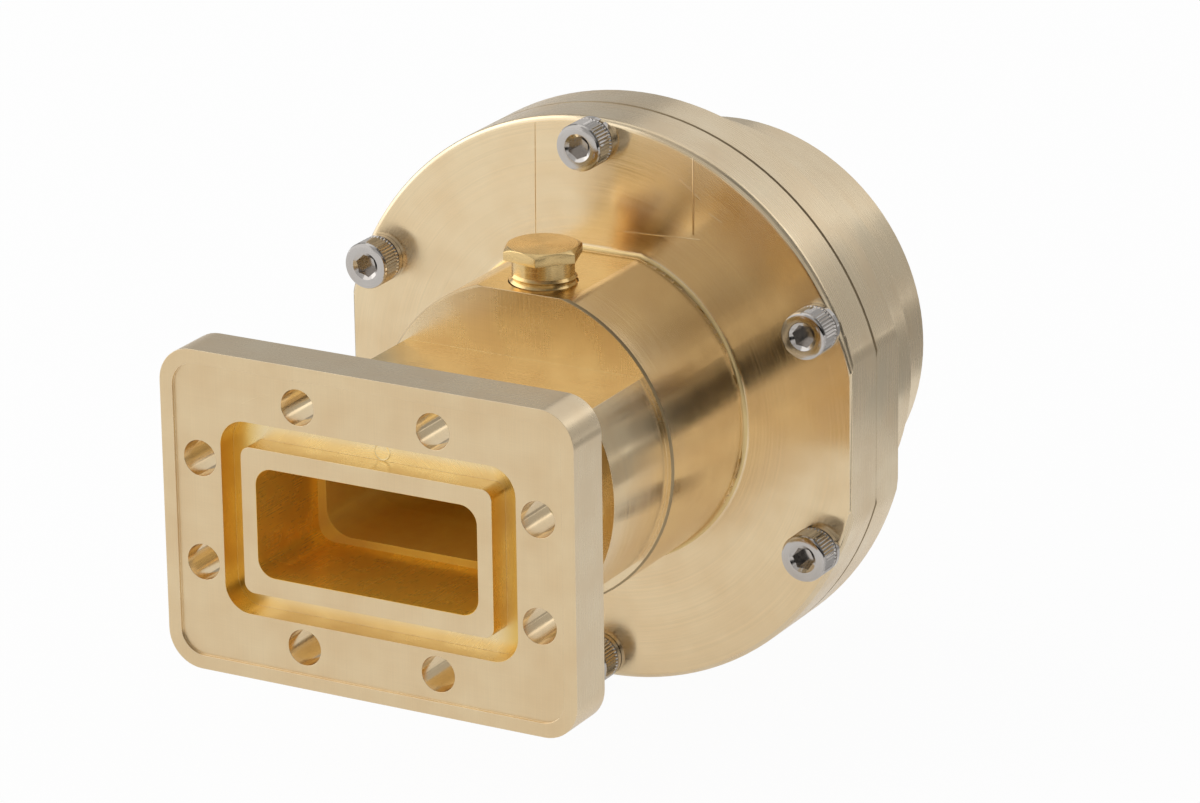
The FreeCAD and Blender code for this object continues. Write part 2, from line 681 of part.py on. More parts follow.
def repeat(model, name):
    """Copy one piece to the six screw places as a group of separate solids."""
    copies = []
    for number, (across, up) in enumerate(SCREW_PLACES, start=1):
        link = doc.addObject("App::Link", f"{name}_{number}")
        link.LinkedObject = model
        link.setExpression("Placement.Base.x", bound(across))
        link.setExpression("Placement.Base.z", bound(up))
        copies.append(link)
    group = doc.addObject("Part::Compound", name)
    group.Label = name
    group.Links = copies
    return group


screws = repeat(screw, "cap_screws")
washers = repeat(washer, "spring_washers")
doc.recompute()

NODES = [front, rear, plug, seal, doc.clamp_upper, doc.clamp_lower, boot, screws, washers]

for item in doc.Objects:
    if any(state in ("Invalid", "Error") for state in item.State):
        raise RuntimeError(f"{item.Name} failed: {item.State}")

os.makedirs("parts", exist_ok=True)
for node in NODES:
    shape = node.Shape
    if shape.isNull() or not shape.isValid():
        raise RuntimeError(f"{node.Label} has no valid shape")
    shape.exportStep(f"parts/{node.Label}.step")
    box = shape.BoundBox
    print(node.Label, len(shape.Solids), round(shape.Volume, 1),
          [round(value, 2) for value in (box.XMin, box.XMax, box.YMin, box.YMax, box.ZMin, box.ZMax)])
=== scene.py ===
"""Looks of the waveguide connector: machined brass bodies, gas plug, stainless screws and seals.

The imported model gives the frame, in metres: +Y along the guide from the flange to the
cable end, +X across the broad side of the opening and +Z up, with the gas plug on top.
"""

import json
import logging
import math
from dataclasses import dataclass, replace
from enum import Enum
from itertools import product

import bmesh
import bpy
from mathutils import Matrix, Vector

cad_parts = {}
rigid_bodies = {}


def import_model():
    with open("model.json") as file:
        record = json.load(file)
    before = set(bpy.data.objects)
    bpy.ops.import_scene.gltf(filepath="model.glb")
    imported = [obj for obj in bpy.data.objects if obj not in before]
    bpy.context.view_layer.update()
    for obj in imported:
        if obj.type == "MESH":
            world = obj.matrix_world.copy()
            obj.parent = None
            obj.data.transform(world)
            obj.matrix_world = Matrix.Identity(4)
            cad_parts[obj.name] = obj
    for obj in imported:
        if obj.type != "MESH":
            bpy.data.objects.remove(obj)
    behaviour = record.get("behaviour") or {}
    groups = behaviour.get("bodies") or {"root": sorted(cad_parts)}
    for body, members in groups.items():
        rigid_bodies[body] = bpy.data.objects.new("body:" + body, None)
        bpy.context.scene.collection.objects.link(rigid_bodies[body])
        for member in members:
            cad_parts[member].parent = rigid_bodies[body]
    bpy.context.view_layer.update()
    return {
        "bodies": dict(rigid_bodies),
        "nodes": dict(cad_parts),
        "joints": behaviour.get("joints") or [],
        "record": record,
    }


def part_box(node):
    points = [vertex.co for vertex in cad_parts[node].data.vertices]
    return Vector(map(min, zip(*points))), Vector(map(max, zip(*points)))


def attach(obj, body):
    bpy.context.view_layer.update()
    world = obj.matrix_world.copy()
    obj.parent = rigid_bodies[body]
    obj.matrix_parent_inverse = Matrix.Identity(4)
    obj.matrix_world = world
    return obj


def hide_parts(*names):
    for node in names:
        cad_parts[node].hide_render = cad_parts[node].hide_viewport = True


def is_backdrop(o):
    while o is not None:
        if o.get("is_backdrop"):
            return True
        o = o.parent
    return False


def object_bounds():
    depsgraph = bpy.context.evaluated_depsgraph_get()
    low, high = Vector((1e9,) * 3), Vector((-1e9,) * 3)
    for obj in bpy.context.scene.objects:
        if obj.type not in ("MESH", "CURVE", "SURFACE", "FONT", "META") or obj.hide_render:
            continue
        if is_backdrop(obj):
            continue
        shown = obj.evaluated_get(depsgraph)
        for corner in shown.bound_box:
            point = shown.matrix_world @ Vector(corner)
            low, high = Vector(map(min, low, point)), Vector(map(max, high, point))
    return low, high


LOG = logging.getLogger("connector")
MM = 0.001
ROOT = "root"
LOCAL_PLACE = "local_place"
SQUARE_ON = 0.999
Socket = bpy.types.NodeSocket
Piece = bpy.types.Object
Material = bpy.types.Material
Shape = bmesh.types.BMesh
Pair = tuple[float, float]
Triple = tuple[float, float, float]
Quad = tuple[float, float, float, float]


class NodeWriter:
    """Adds nodes to one tree and links them in short lines."""

    def __init__(self, tree: bpy.types.NodeTree) -> None:
        """Take a tree and empty it."""
        self.tree = tree
        tree.nodes.clear()

    def add(self, kind: str, inputs: dict | None = None, **settings: object) -> bpy.types.Node:
        """Add a node.

        Args:
            kind: The node's type name.
            inputs: Values or output sockets, by the name or number of the input.
            settings: The node's own properties.

        Returns:
            The new node.
        """
        node = self.tree.nodes.new(kind)
        for name, value in settings.items():
            setattr(node, name, value)
        for key, value in (inputs or {}).items():
            if isinstance(value, Socket):
                self.tree.links.new(value, node.inputs[key])
            else:
                node.inputs[key].default_value = value
        return node

    def out(self, kind: str, inputs: dict | None = None, **settings: object) -> Socket:
        """Add a node and return its first output."""
        return self.add(kind, inputs, **settings).outputs[0]

    def math(self, operation: str, first: object, second: object = 0.0) -> Socket:
        """Return the result of a Math node on two numbers or sockets."""
        return self.out("ShaderNodeMath", {0: first, 1: second}, operation=operation)

    def vector(self, operation: str, first: object, second: object = (0.0, 0.0, 0.0)) -> Socket:
        """Return the result of a Vector Math node on two vectors or sockets."""
        return self.out("ShaderNodeVectorMath", {0: first, 1: second}, operation=operation)

    def measure(self, operation: str, first: object, second: object = (0.0, 0.0, 0.0)) -> Socket:
        """Return the number that a Vector Math node makes of two vectors or sockets."""
        return self.add("ShaderNodeVectorMath", {0: first, 1: second}, operation=operation).outputs["Value"]

    def scale(self, vector: object, factor: object) -> Socket:
        """Return a vector times a number or socket."""
        return self.out("ShaderNodeVectorMath", {0: vector, "Scale": factor}, operation="SCALE")

    def remap(self, value: Socket, given: Pair, wanted: Pair = (0.0, 1.0)) -> Socket:
        """Move a number from one range to another and keep it inside.

        Args:
            value: The number.
            given: The range that it comes from.
            wanted: The range that it goes to.

        Returns:
            The moved number.
        """
        (low, high), (start, end) = given, wanted
        inputs = {"Value": value, "From Min": low, "From Max": high, "To Min": start, "To Max": end}
        return self.out("ShaderNodeMapRange", inputs)

    def combine(self, across: object, along: object, up: object) -> Socket:
        """Return a vector made of three numbers or sockets."""
        return self.out("ShaderNodeCombineXYZ", {0: across, 1: along, 2: up})

    def split(self, vector: Socket) -> tuple:
        """Return the three parts of a vector."""
        node = self.add("ShaderNodeSeparateXYZ", {0: vector})
        return node.outputs[0], node.outputs[1], node.outputs[2]

    def mix(self, factor: object, first: object, second: object) -> Socket:
        """Return a blend of two colours or sockets."""
        inputs = {"Factor": factor, "A": first, "B": second}
        return self.add("ShaderNodeMix", inputs, data_type="RGBA").outputs["Result"]

    def noise(self, place: Socket, size: float, detail: float, **more: object) -> Socket:
        """Return soft blotches of one size, from 0 to 1."""
        inputs = {"Vector": place, "Scale": 1 / size, "Detail": detail, **more}
        return self.out("ShaderNodeTexNoise", inputs)

    def product(self, first: object, *others: object) -> Socket:
        """Multiply numbers or sockets together.

        Args:
            first: A number or socket.
            others: The numbers or sockets to multiply it by.

        Returns:
            The product.
        """
        for other in others:
            first = self.math("MULTIPLY", first, other)
        return first

    def blend(self, first: Socket, second: Socket, share: float) -> Socket:
        """Return the sum of two patterns, with the share of the first."""
        return self.math("ADD", self.product(first, share), self.product(second, 1 - share))

    def bump(self, distance: float, height: Socket, **more: object) -> Socket:
        """Return the normal of a surface with a raised pattern."""
        return self.out("ShaderNodeBump", {"Distance": distance, "Height": height, **more})

    def glow(self, strength: object) -> bpy.types.Node:
        """Return a white light-giving shader of one strength."""
        return self.add("ShaderNodeEmission", {"Color": (1, 1, 1, 1), "Strength": strength})

    def surface(self, shader: bpy.types.Node) -> None:
        """End a material's tree in a shader."""
        self.add("ShaderNodeOutputMaterial", {"Surface": shader.outputs[0]})


def new_material(name: str) -> tuple[Material, NodeWriter]:
    """Start a material.

    Args:
        name: The material's name.

    Returns:
        The material and the writer.
    """
    material = bpy.data.materials.new(name)
    material.use_nodes = True
    return material, NodeWriter(material.node_tree)


class Lay(Enum):
    """The way that a cutting tool's marks run."""

    AROUND_Y = "around the guide's axis"
    AROUND_Z = "around an upright axis"
    ALONG_X = "straight across"
    ALONG_Y = "straight along the guide"
    ALONG_Z = "straight up"
    LOCAL = "around the piece's own axis, kept in an attribute"


STRAIGHT = {Lay.ALONG_X: Vector((1, 0, 0)), Lay.ALONG_Y: Vector((0, 1, 0)), Lay.ALONG_Z: Vector((0, 0, 1))}
AXES = {Lay.AROUND_Y: Vector((0, 1, 0)), Lay.LOCAL: Vector((0, 1, 0)), Lay.AROUND_Z: Vector((0, 0, 1))}


@dataclass(frozen=True)
class Scratch:
    """A fine straight mark on a face that looks along the guide, given in millimetres by its two ends."""

    start: Pair
    end: Pair
    width: float
    strength: float

    def mask(self, writer: NodeWriter, flat: Socket) -> Socket:
        """Write the mark into a material.

        Args:
            writer: The writer of the material's tree.
            flat: The point on the face, with nothing along the guide's axis.

        Returns:
            How strongly the point shows the mark, from 0 to its strength.
        """
        start, end = (Vector((across, 0.0, up)) * MM for across, up in (self.start, self.end))
        reach = end - start
        offset = writer.vector("SUBTRACT", flat, start)
        along = writer.math("DIVIDE", writer.measure("DOT_PRODUCT", offset, reach), reach.length_squared)
        share = writer.out("ShaderNodeClamp", {"Value": along})
        away = writer.measure("DISTANCE", offset, writer.scale(reach, share))
        return writer.remap(away, (0.0, self.width * MM), (self.strength, 0.0))


@dataclass(frozen=True)
class RingMark:
    """The round mark that a cutter's tip leaves where it goes in, given in millimetres."""

    centre: Pair
    radius: float
    width: float = 0.16
    strength: float = 0.6

    def mask(self, writer: NodeWriter, flat: Socket) -> Socket:
        """Write the mark into a material.

        Args:
            writer: The writer of the material's tree.
            flat: The point on the face, with nothing along the guide's axis.

        Returns:
            How strongly the point shows the mark, from 0 to its strength.
        """
        away = writer.measure("DISTANCE", flat, Vector((self.centre[0], 0.0, self.centre[1])) * MM)
        off = writer.math("ABSOLUTE", writer.math("SUBTRACT", away, self.radius * MM))
        return writer.remap(off, (0.0, self.width * MM), (self.strength, 0.0))


@dataclass(frozen=True)
class MetalFinish:
    """A machined metal surface with tool marks along one lay, and fainter ones across it."""

    colour: Triple
    lay: Lay = Lay.AROUND_Y
    roughness: float = 0.3
    roughness_spread: float = 0.06
    anisotropy: float = 0.3
    metallic: float = 1.0
    mark_pitch: float = 0.13 * MM
    mark_depth: float = 0.0006 * MM
    mark_tint: float = 0.035
    mark_stretch: float = 110.0
    cross: Lay | None = None
    cross_share: float = 0.4
    wave_pitch: float = 3.0 * MM
    wave_depth: float = 0.0008 * MM
    tarnish: float = 0.10
    tarnish_size: float = 8.0 * MM
    centre: Triple = (0.0, 0.0, 0.0)
    single_marks: tuple[Scratch | RingMark, ...] = ()
    single_depth: float = 0.07 * MM
    # A colour blended in towards the left and right: painted shade for a recess's ends.
    painted_shade_colour: Triple | None = None
    painted_shade_range: Pair = (18.0 * MM, 21.0 * MM)
    around_steps: float = 1.3
    patch_share: float = 0.6
    blend_range: Pair = (0.35, 0.65)
    mark_range: Pair = (0.3, 0.7)

    def base(self, writer: NodeWriter, place: Socket) -> Socket:
        """Write the metal's colour, blended towards a painted shade colour at the left and right ends.

        Args:
            writer: The writer of the material's tree.
            place: The point on the surface.

        Returns:
            The colour.
        """
        if self.painted_shade_colour is None:
            plain = writer.add("ShaderNodeRGB")
            plain.outputs[0].default_value = (*self.colour, 1.0)
            return plain.outputs[0]
        # Blend towards the painted shade colour by the distance across.
        across, _, _ = writer.split(place)
        share = writer.remap(writer.math("ABSOLUTE", across), self.painted_shade_range)
        return writer.mix(share, (*self.colour, 1.0), (*self.painted_shade_colour, 1.0))

    def direction(self, writer: NodeWriter, place: Socket) -> Vector | Socket:
        """Write the direction that the marks run in.

        Args:
            writer: The writer of the material's tree.
            place: The point on the surface.

        Returns:
            The direction, fixed for a straight lay.
        """
        if self.lay in STRAIGHT:
            return STRAIGHT[self.lay]
        return writer.vector("CROSS_PRODUCT", AXES[self.lay], writer.vector("SUBTRACT", place, self.centre))

    def marks(self, writer: NodeWriter, place: Socket, lay: Lay) -> Socket:
        """Write one set of tool marks.

        Args:
            writer: The writer of the material's tree.
            place: The point on the surface.
            lay: The way that the marks run.

        Returns:
            The marks' height from 0 to 1.
        """
        length = self.mark_pitch * self.mark_stretch
        fourth = 0.0
        if lay in STRAIGHT:
            sizes = [1 / length if part else 1 / self.mark_pitch for part in STRAIGHT[lay]]
            stretched = writer.vector("MULTIPLY", place, tuple(sizes))
        else:
            offset = writer.vector("SUBTRACT", place, self.centre)
            rise = writer.vector("MULTIPLY", offset, AXES[lay])
            flat = writer.vector("SUBTRACT", offset, rise)
            around = writer.scale(writer.vector("NORMALIZE", flat), self.around_steps)
            stretched = writer.vector("ADD", around, writer.scale(rise, 1 / self.mark_pitch))
            fourth = writer.math("DIVIDE", writer.measure("LENGTH", flat), self.mark_pitch)
        inputs = {"Vector": stretched, "W": fourth, "Scale": 1.0, "Detail": 1.0, "Roughness": 0.6}
        return writer.out("ShaderNodeTexNoise", inputs, noise_dimensions="4D")

    def relief(self, writer: NodeWriter, place: Socket, fine: Socket) -> Socket:
        """Write the normal: soft waves, then the tool marks, then the single marks.

        Args:
            writer: The writer of the material's tree.
            place: The point on the surface.
            fine: The tool marks' height.

        Returns:
            The normal.
        """
        waves = writer.bump(self.wave_depth, writer.noise(place, self.wave_pitch, 2.0, Roughness=0.6))
        relief = writer.bump(self.mark_depth, fine, Normal=waves)
        if not self.single_marks:
            return relief
        across, _, up = writer.split(place)
        flat = writer.combine(across, 0.0, up)
        single = None
        for mark in self.single_marks:
            shown = mark.mask(writer, flat)
            single = writer.math("MAXIMUM", single, shown) if single else shown
        return writer.bump(self.single_depth, single, Normal=relief)

    def material(self, name: str) -> Material:
        """Make the finish a procedural material.

        Args:
            name: The material's name.

        Returns:
            The material.
        """
        material, writer = new_material(name)
        if self.lay is Lay.LOCAL:
            place = writer.add("ShaderNodeAttribute", attribute_name=LOCAL_PLACE).outputs["Vector"]
        else:
            place = writer.add("ShaderNodeTexCoord").outputs["Object"]
        fine = self.marks(writer, place, self.lay)
        if self.cross:
            fine = writer.blend(fine, self.marks(writer, place, self.cross), 1 - self.cross_share)
        patch = writer.noise(place, self.tarnish_size, 2.0, Roughness=0.6)
        dull = writer.blend(patch, fine, self.patch_share)
        roughness = (self.roughness - self.roughness_spread, self.roughness + self.roughness_spread)
        base = self.base(writer, place)
        dulling = tuple((1 - self.tarnish) ** (1 + index) for index in range(3))
        stain = writer.mix(patch, base, writer.vector("MULTIPLY", base, dulling))
        shade = writer.remap(fine, self.mark_range, (1 - self.mark_tint, 1 + self.mark_tint))
        normal = writer.add("ShaderNodeNewGeometry").outputs["Normal"]
        tangent = writer.vector("CROSS_PRODUCT", normal, self.direction(writer, place))
        writer.surface(writer.add("ShaderNodeBsdfPrincipled", {
            "Base Color": writer.vector("MULTIPLY", stain, writer.combine(shade, shade, shade)),
            "Metallic": self.metallic,
            "Specular IOR Level": 0.0,
            "Roughness": writer.remap(dull, self.blend_range, roughness),
            "Anisotropic": self.anisotropy,
            "Tangent": writer.vector("NORMALIZE", tangent),
            "Normal": self.relief(writer, place, fine),
        }))
        return material


@dataclass(frozen=True)
class RubberFinish:
    """Black moulded rubber with a fine grain."""

    colour: Triple = (0.02, 0.02, 0.021)
    pale: float = 2.2
    grain: float = 0.4 * MM
    grain_depth: float = 0.02 * MM

    def material(self, name: str) -> Material:
        """Make the finish a procedural material.

        Args:
            name: The material's name.

        Returns:
            The material.
        """
        material, writer = new_material(name)
        place = writer.add("ShaderNodeTexCoord").outputs["Object"]
        grain = writer.noise(place, self.grain, 3.0)
        pale = tuple(part * self.pale for part in self.colour)
        writer.surface(writer.add("ShaderNodeBsdfPrincipled", {
            "Base Color": writer.mix(grain, (*self.colour, 1.0), (*pale, 1.0)),
            "Roughness": 0.62,
            "Normal": writer.bump(self.grain_depth, grain, Strength=0.5),
        }))
        return material


BRASS = (0.90, 0.745, 0.49)
FLANGE_BRASS = (0.85, 0.69, 0.44)
# A paler, cooler copy of the brass for the flange's sides and the rims: painted tint of the cooler light that
# these sides reflect.
RIM_COOL_REFLECTION_BRASS = (0.88, 0.755, 0.54)
GROOVE_BRASS = (0.97, 0.82, 0.50)
# Deeper, darker gold for the gasket groove's left and right ends: painted shade and bounced light of the
# recess, not the brass's own colour.
GROOVE_END_SHADE_BRASS = (0.90, 0.64, 0.20)
# Saturated orange golds for inside the guide: painted bounce light between the brass walls, paler and
# brighter in the deep part.
GUIDE_BOUNCE_LIGHT_BRASS = (1.0, 0.64, 0.09)
DEEP_GUIDE_BOUNCE_LIGHT_BRASS = (1.0, 0.73, 0.16)
# A deeper amber copy of the brass for the milled flats, the neck and the barrel's root fillet: painted light
# bounced from the nearby brass, and on the fillet a dimmed highlight.
PORT_AMBER_BOUNCE_BRASS = (0.82, 0.64, 0.32)
# Dark brown for the barrel's front chamfer: painted shade and dark reflection drawn as a thin dark line.
EDGE_SHADE_BRASS = (0.40, 0.31, 0.18)
# Very dark brown for the chamfers where the two discs meet: painted shade of the seam between the parts.
SEAM_SHADE_BRASS = (0.34, 0.27, 0.17)
PLUG_BRASS = (0.79, 0.59, 0.28)
STEEL = (0.58, 0.56, 0.54)
PLUG_AXIS = (0.0, 49.7 * MM, 0.0)


FLANGE_MARKS = (
    Scratch((-19.5, 16.6), (-17.2, 17.9), 0.12, 0.3),
    Scratch((-17.2, 17.9), (-14.8, 18.7), 0.12, 0.25),
    Scratch((-21.7, 13.7), (-19.4, 15.2), 0.10, 0.2),
)
GROOVE_MARKS = (RingMark((0.64, 11.92), 1.2),)
DISC_MARKS = (
    Scratch((-9.9, 23.8), (-9.7, 40.8), 0.16, 0.35),
    Scratch((16.0, 27.5), (16.0, 39.4), 0.16, 0.35),
    Scratch((4.9, 26.4), (17.0, 26.9), 0.10, 0.25),
    Scratch((13.9, 35.4), (17.1, 32.8), 0.10, 0.3),
    Scratch((18.5, 31.0), (20.6, 29.9), 0.08, 0.2),
)


class Finish(Enum):
    """Every finish on the connector."""

    FLANGE_FACE = MetalFinish(
        FLANGE_BRASS, Lay.ALONG_Z, roughness=0.34, cross=Lay.ALONG_X, mark_tint=0.03,
        single_marks=FLANGE_MARKS
    )
    FLANGE_SIDE = MetalFinish(
        RIM_COOL_REFLECTION_BRASS, Lay.ALONG_X, roughness=0.28, roughness_spread=0.03, mark_depth=0.0002 * MM, mark_tint=0.02
    )
    FLANGE_END = replace(FLANGE_SIDE, lay=Lay.ALONG_Z)
    # The gasket groove darkens to a deeper gold at its ends: painted shade.
    GASKET_GROOVE = MetalFinish(
        GROOVE_BRASS, roughness=0.3, anisotropy=0.2, mark_depth=0.0001 * MM, mark_tint=0.015,
        wave_depth=0.0002 * MM, single_marks=GROOVE_MARKS, single_depth=0.06 * MM,
        painted_shade_colour=GROOVE_END_SHADE_BRASS
    )
    # Inside the guide the saturated colour and the lowered metallic paint in light bounced between the walls.
    # The deep part is more diffuse and paler, painted brighter for light that many bounces would bring.
    GUIDE_INSIDE = MetalFinish(
        GUIDE_BOUNCE_LIGHT_BRASS, Lay.ALONG_Y, roughness=0.28, roughness_spread=0.02, anisotropy=0.1, metallic=0.55,
        mark_tint=0.015, mark_depth=0.0001 * MM, wave_depth=0.0003 * MM, tarnish_size=3.0 * MM
    )
    GUIDE_DEEP_INSIDE = replace(GUIDE_INSIDE, colour=DEEP_GUIDE_BOUNCE_LIGHT_BRASS, roughness=0.3, metallic=0.35)
    DRILLED_HOLE = MetalFinish(BRASS, roughness=0.16, anisotropy=0.2)
    MILLED_FLAT = MetalFinish(PORT_AMBER_BOUNCE_BRASS, Lay.ALONG_X, roughness=0.25, mark_tint=0.05)
    RIM_FLAT = MetalFinish(RIM_COOL_REFLECTION_BRASS, Lay.ALONG_Z, roughness=0.27, anisotropy=0.4, mark_tint=0.05)
    BARREL_FACE = MetalFinish(
        BRASS, Lay.ALONG_Z, roughness=0.27, cross=Lay.ALONG_X, mark_tint=0.05, mark_depth=0.0003 * MM,
        wave_depth=0.0003 * MM
    )
    TURNED_SIDE = MetalFinish(
        BRASS, roughness=0.2, anisotropy=0.78, mark_tint=0.03, mark_depth=0.0003 * MM,
        wave_depth=0.0005 * MM
    )
    NECK_SIDE = replace(TURNED_SIDE, colour=PORT_AMBER_BOUNCE_BRASS, roughness=0.25, anisotropy=0.5)
    RIM_SIDE = MetalFinish(RIM_COOL_REFLECTION_BRASS, roughness=0.27, anisotropy=0.6, mark_depth=0.0003 * MM)
    # The root fillet's darker amber is painted shade that dims its highlight.
    ROOT_FILLET = MetalFinish(PORT_AMBER_BOUNCE_BRASS, roughness=0.32)
    # Painted shade: the chamfer is coloured dark instead of lit dark.
    BROKEN_EDGE = MetalFinish(EDGE_SHADE_BRASS, roughness=0.35, anisotropy=0.2)
    # Painted shade in the seam between the front and rear discs.
    SEAM_EDGE = MetalFinish(SEAM_SHADE_BRASS, roughness=0.4, anisotropy=0.2)
    TURNED_FACE = MetalFinish(BRASS, roughness=0.235, anisotropy=0.9)
    DISC_FACE = MetalFinish(BRASS, roughness=0.21, anisotropy=0.88, single_marks=DISC_MARKS)
    PLUG_TURNED = MetalFinish(
        PLUG_BRASS, Lay.AROUND_Z, roughness=0.27, anisotropy=0.8, centre=PLUG_AXIS, mark_tint=0.06
    )
    STAINLESS = MetalFinish(STEEL, Lay.LOCAL, roughness=0.14, tarnish=0.05, mark_depth=0.001 * MM)
    SEAL_RUBBER = RubberFinish()


class FinishShelf:
    """Makes each finish's material once, under the finish's own name, and hands it out."""

    def __init__(self) -> None:
        """Start with no material made."""
        self.made: dict[Finish, Material] = {}

    def get(self, finish: Finish) -> Material:
        """Hand out a finish.

        Args:
            finish: The finish.

        Returns:
            Its material, the same one each time.
        """
        if finish not in self.made:
            self.made[finish] = finish.value.material(finish.name.lower())
        return self.made[finish]


def link_mesh(name: str, mesh: bpy.types.Mesh) -> Piece:
    """Put a mesh into the scene as an object at the origin.

    Args:
        name: The object's name.
        mesh: The mesh.

    Returns:
        The object.
    """
    piece = bpy.data.objects.new(name, mesh)
    bpy.context.scene.collection.objects.link(piece)
    return piece


def from_bmesh(name: str, shape: Shape) -> Piece:
    """Turn a bmesh into an object and free it.

    Args:
        name: The object's name.
        shape: The bmesh, which is used up.

    Returns:
        The object.
    """
    mesh = bpy.data.meshes.new(name)
    shape.to_mesh(mesh)
    shape.free()
    return link_mesh(name, mesh)


def plain_mesh(piece: Piece, keep_name: str) -> Piece:
    """Replace an object's live modifiers by their result.

    Args:
        piece: The object with modifiers.
        keep_name: The finished object's name.

    Returns:
        The finished object, at the origin.
    """
    bpy.context.view_layer.update()
    graph = bpy.context.evaluated_depsgraph_get()
    mesh = bpy.data.meshes.new_from_object(piece.evaluated_get(graph), depsgraph=graph)
    bpy.data.objects.remove(piece)
    mesh.name = keep_name
    return link_mesh(keep_name, mesh)


def smooth_by_angle(mesh: bpy.types.Mesh, degrees: float) -> None:
    """Shade a mesh smooth but for edges sharper than an angle.

    Args:
        mesh: The mesh.
        degrees: The angle.
    """
    for face in mesh.polygons:
        face.use_smooth = True
    mesh.set_sharp_from_angle(angle=math.radians(degrees))


def break_edges(piece: Piece, width: float, degrees: float) -> bpy.types.Modifier:
    """Bevel the edges that are sharper than an angle.

    Args:
        piece: The object.
        width: The bevel's width.
        degrees: The angle.

    Returns:
        The live modifier.
    """
    bevel = piece.modifiers.new("edge_break", "BEVEL")
    bevel.limit_method = "ANGLE"
    bevel.angle_limit = math.radians(degrees)
    bevel.width = width
    bevel.segments = 2
    return bevel


def ring(shape: Shape, radius: float, height: float, turns: list[float]) -> list:
    """Add a vertex at each turn about the Z axis."""
    return [shape.verts.new((radius * math.cos(turn), radius * math.sin(turn), height)) for turn in turns]


def bridge(shape: Shape, loops: list[list]) -> None:
    """Add the faces between closed loops of vertices, each joined to the next.

    Args:
        shape: The bmesh that the vertices are in.
        loops: The loops in order. A loop of one vertex is a point.
    """
    for before, after in zip(loops, loops[1:]):
        count = max(len(before), len(after))
        for step in range(count):
            following = (step + 1) % count
            corners = [before[step % len(before)], before[following % len(before)]]
            corners += [after[following % len(after)], after[step % len(after)]]
            shape.faces.new(list(dict.fromkeys(corners)))


def lathe(profile: list[Pair], segments: int) -> Shape:
    """Turn a closed solid about the Z axis.

    Args:
        profile: Pairs of radius and height, from the axis to the axis.
        segments: The number of steps around.

    Returns:
        The solid, with faces pointing outwards.
    """
    shape = bmesh.new()
    turns = [2 * math.pi * step / segments for step in range(segments)]
    bridge(shape, [ring(shape, radius, height, turns if radius else [0.0]) for radius, height in profile])
    bmesh.ops.recalc_face_normals(shape, faces=shape.faces)
    return shape


def hexagon_prism(across: float, low: float, high: float, turned: float = 0.0) -> Shape:
    """Make a hexagonal prism about the Z axis.

    Args:
        across: Its width across the flats.
        low: Its lower end's height.
        high: Its upper end's height.
        turned: Its turn about the axis, in radians.

    Returns:
        The prism, with faces pointing outwards.
    """
    reach = across / 2 / math.cos(math.pi / 6)
    shape = bmesh.new()
    turns = [turned + math.pi / 3 * step for step in range(6)]
    ends = [ring(shape, reach, height, turns) for height in (low, high)]
    for end in ends:
        shape.faces.new(end)
    bridge(shape, ends)
    bmesh.ops.recalc_face_normals(shape, faces=shape.faces)
    return shape


def combine(base: Piece, tool: Piece, operation: str) -> Piece:
    """Join, cut or intersect one object with another, which is used up.

    Args:
        base: The first object.
        tool: The second object.
        operation: The Boolean modifier's operation.

    Returns:
        The result, under the first one's name.
    """
    cut = base.modifiers.new("cut", "BOOLEAN")
    cut.object = tool
    cut.operation = operation
    cut.solver = "EXACT"
    result = plain_mesh(base, base.name)
    bpy.data.objects.remove(tool)
    return result


def hand_over(piece: Piece, node: str) -> Piece:
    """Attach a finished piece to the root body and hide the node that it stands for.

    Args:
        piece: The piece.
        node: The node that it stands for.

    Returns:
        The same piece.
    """
    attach(piece, ROOT)
    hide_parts(node)
    return piece


@dataclass
class MachinedBody:
    """A brass body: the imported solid's own shape, with its edges broken and a finish for each surface."""

    node: str
    name: str
    edge_break: float = 0.05 * MM
    merge: float = 0.002 * MM
    flat_angle: float = 0.3
    sharp_angle: float = 24.0
    smooth_angle: float = 35.0
    faces_y_from: float = 0.93

    def finish_of(self, centre: Vector, normal: Vector, reach: Vector) -> Finish:
        """Return the finish of a face from its centre, its normal and its furthest corner along each axis."""
        return Finish.TURNED_SIDE

    def build(self, frame: dict, shelf: FinishShelf) -> Piece:
        """Copy the node, break its edges and dress its faces.

        Args:
            shelf: The finishes' materials.

        Returns:
            The finished piece.
        """
        shape = bmesh.new()
        shape.from_mesh(frame["nodes"][self.node].data)
        bmesh.ops.remove_doubles(shape, verts=shape.verts, dist=self.merge)
        bmesh.ops.dissolve_limit(
            shape, angle_limit=math.radians(self.flat_angle), verts=shape.verts, edges=shape.edges
        )
        piece = from_bmesh(self.name, shape)
        break_edges(piece, self.edge_break, self.sharp_angle).use_clamp_overlap = False
        piece = plain_mesh(piece, self.name)
        smooth_by_angle(piece.data, self.smooth_angle)
        weighted = piece.modifiers.new("weighted", "WEIGHTED_NORMAL")
        weighted.keep_sharp = True
        piece = plain_mesh(piece, self.name)
        self.dress(piece, shelf)
        return hand_over(piece, self.node)

    def dress(self, piece: Piece, shelf: FinishShelf) -> None:
        """Give each face its finish.

        Args:
            piece: The body.
            shelf: The finishes' materials.
        """
        chosen = []
        for face in piece.data.polygons:
            corners = [piece.data.vertices[index].co for index in face.vertices]
            reach = Vector([max(abs(corner[axis]) for corner in corners) for axis in range(3)])
            chosen.append(self.finish_of(face.center, face.normal, reach))
        order = list(dict.fromkeys(chosen))
        piece.data.materials.clear()
        for finish in order:
            piece.data.materials.append(shelf.get(finish))
        for face, finish in zip(piece.data.polygons, chosen):
            face.material_index = order.index(finish)


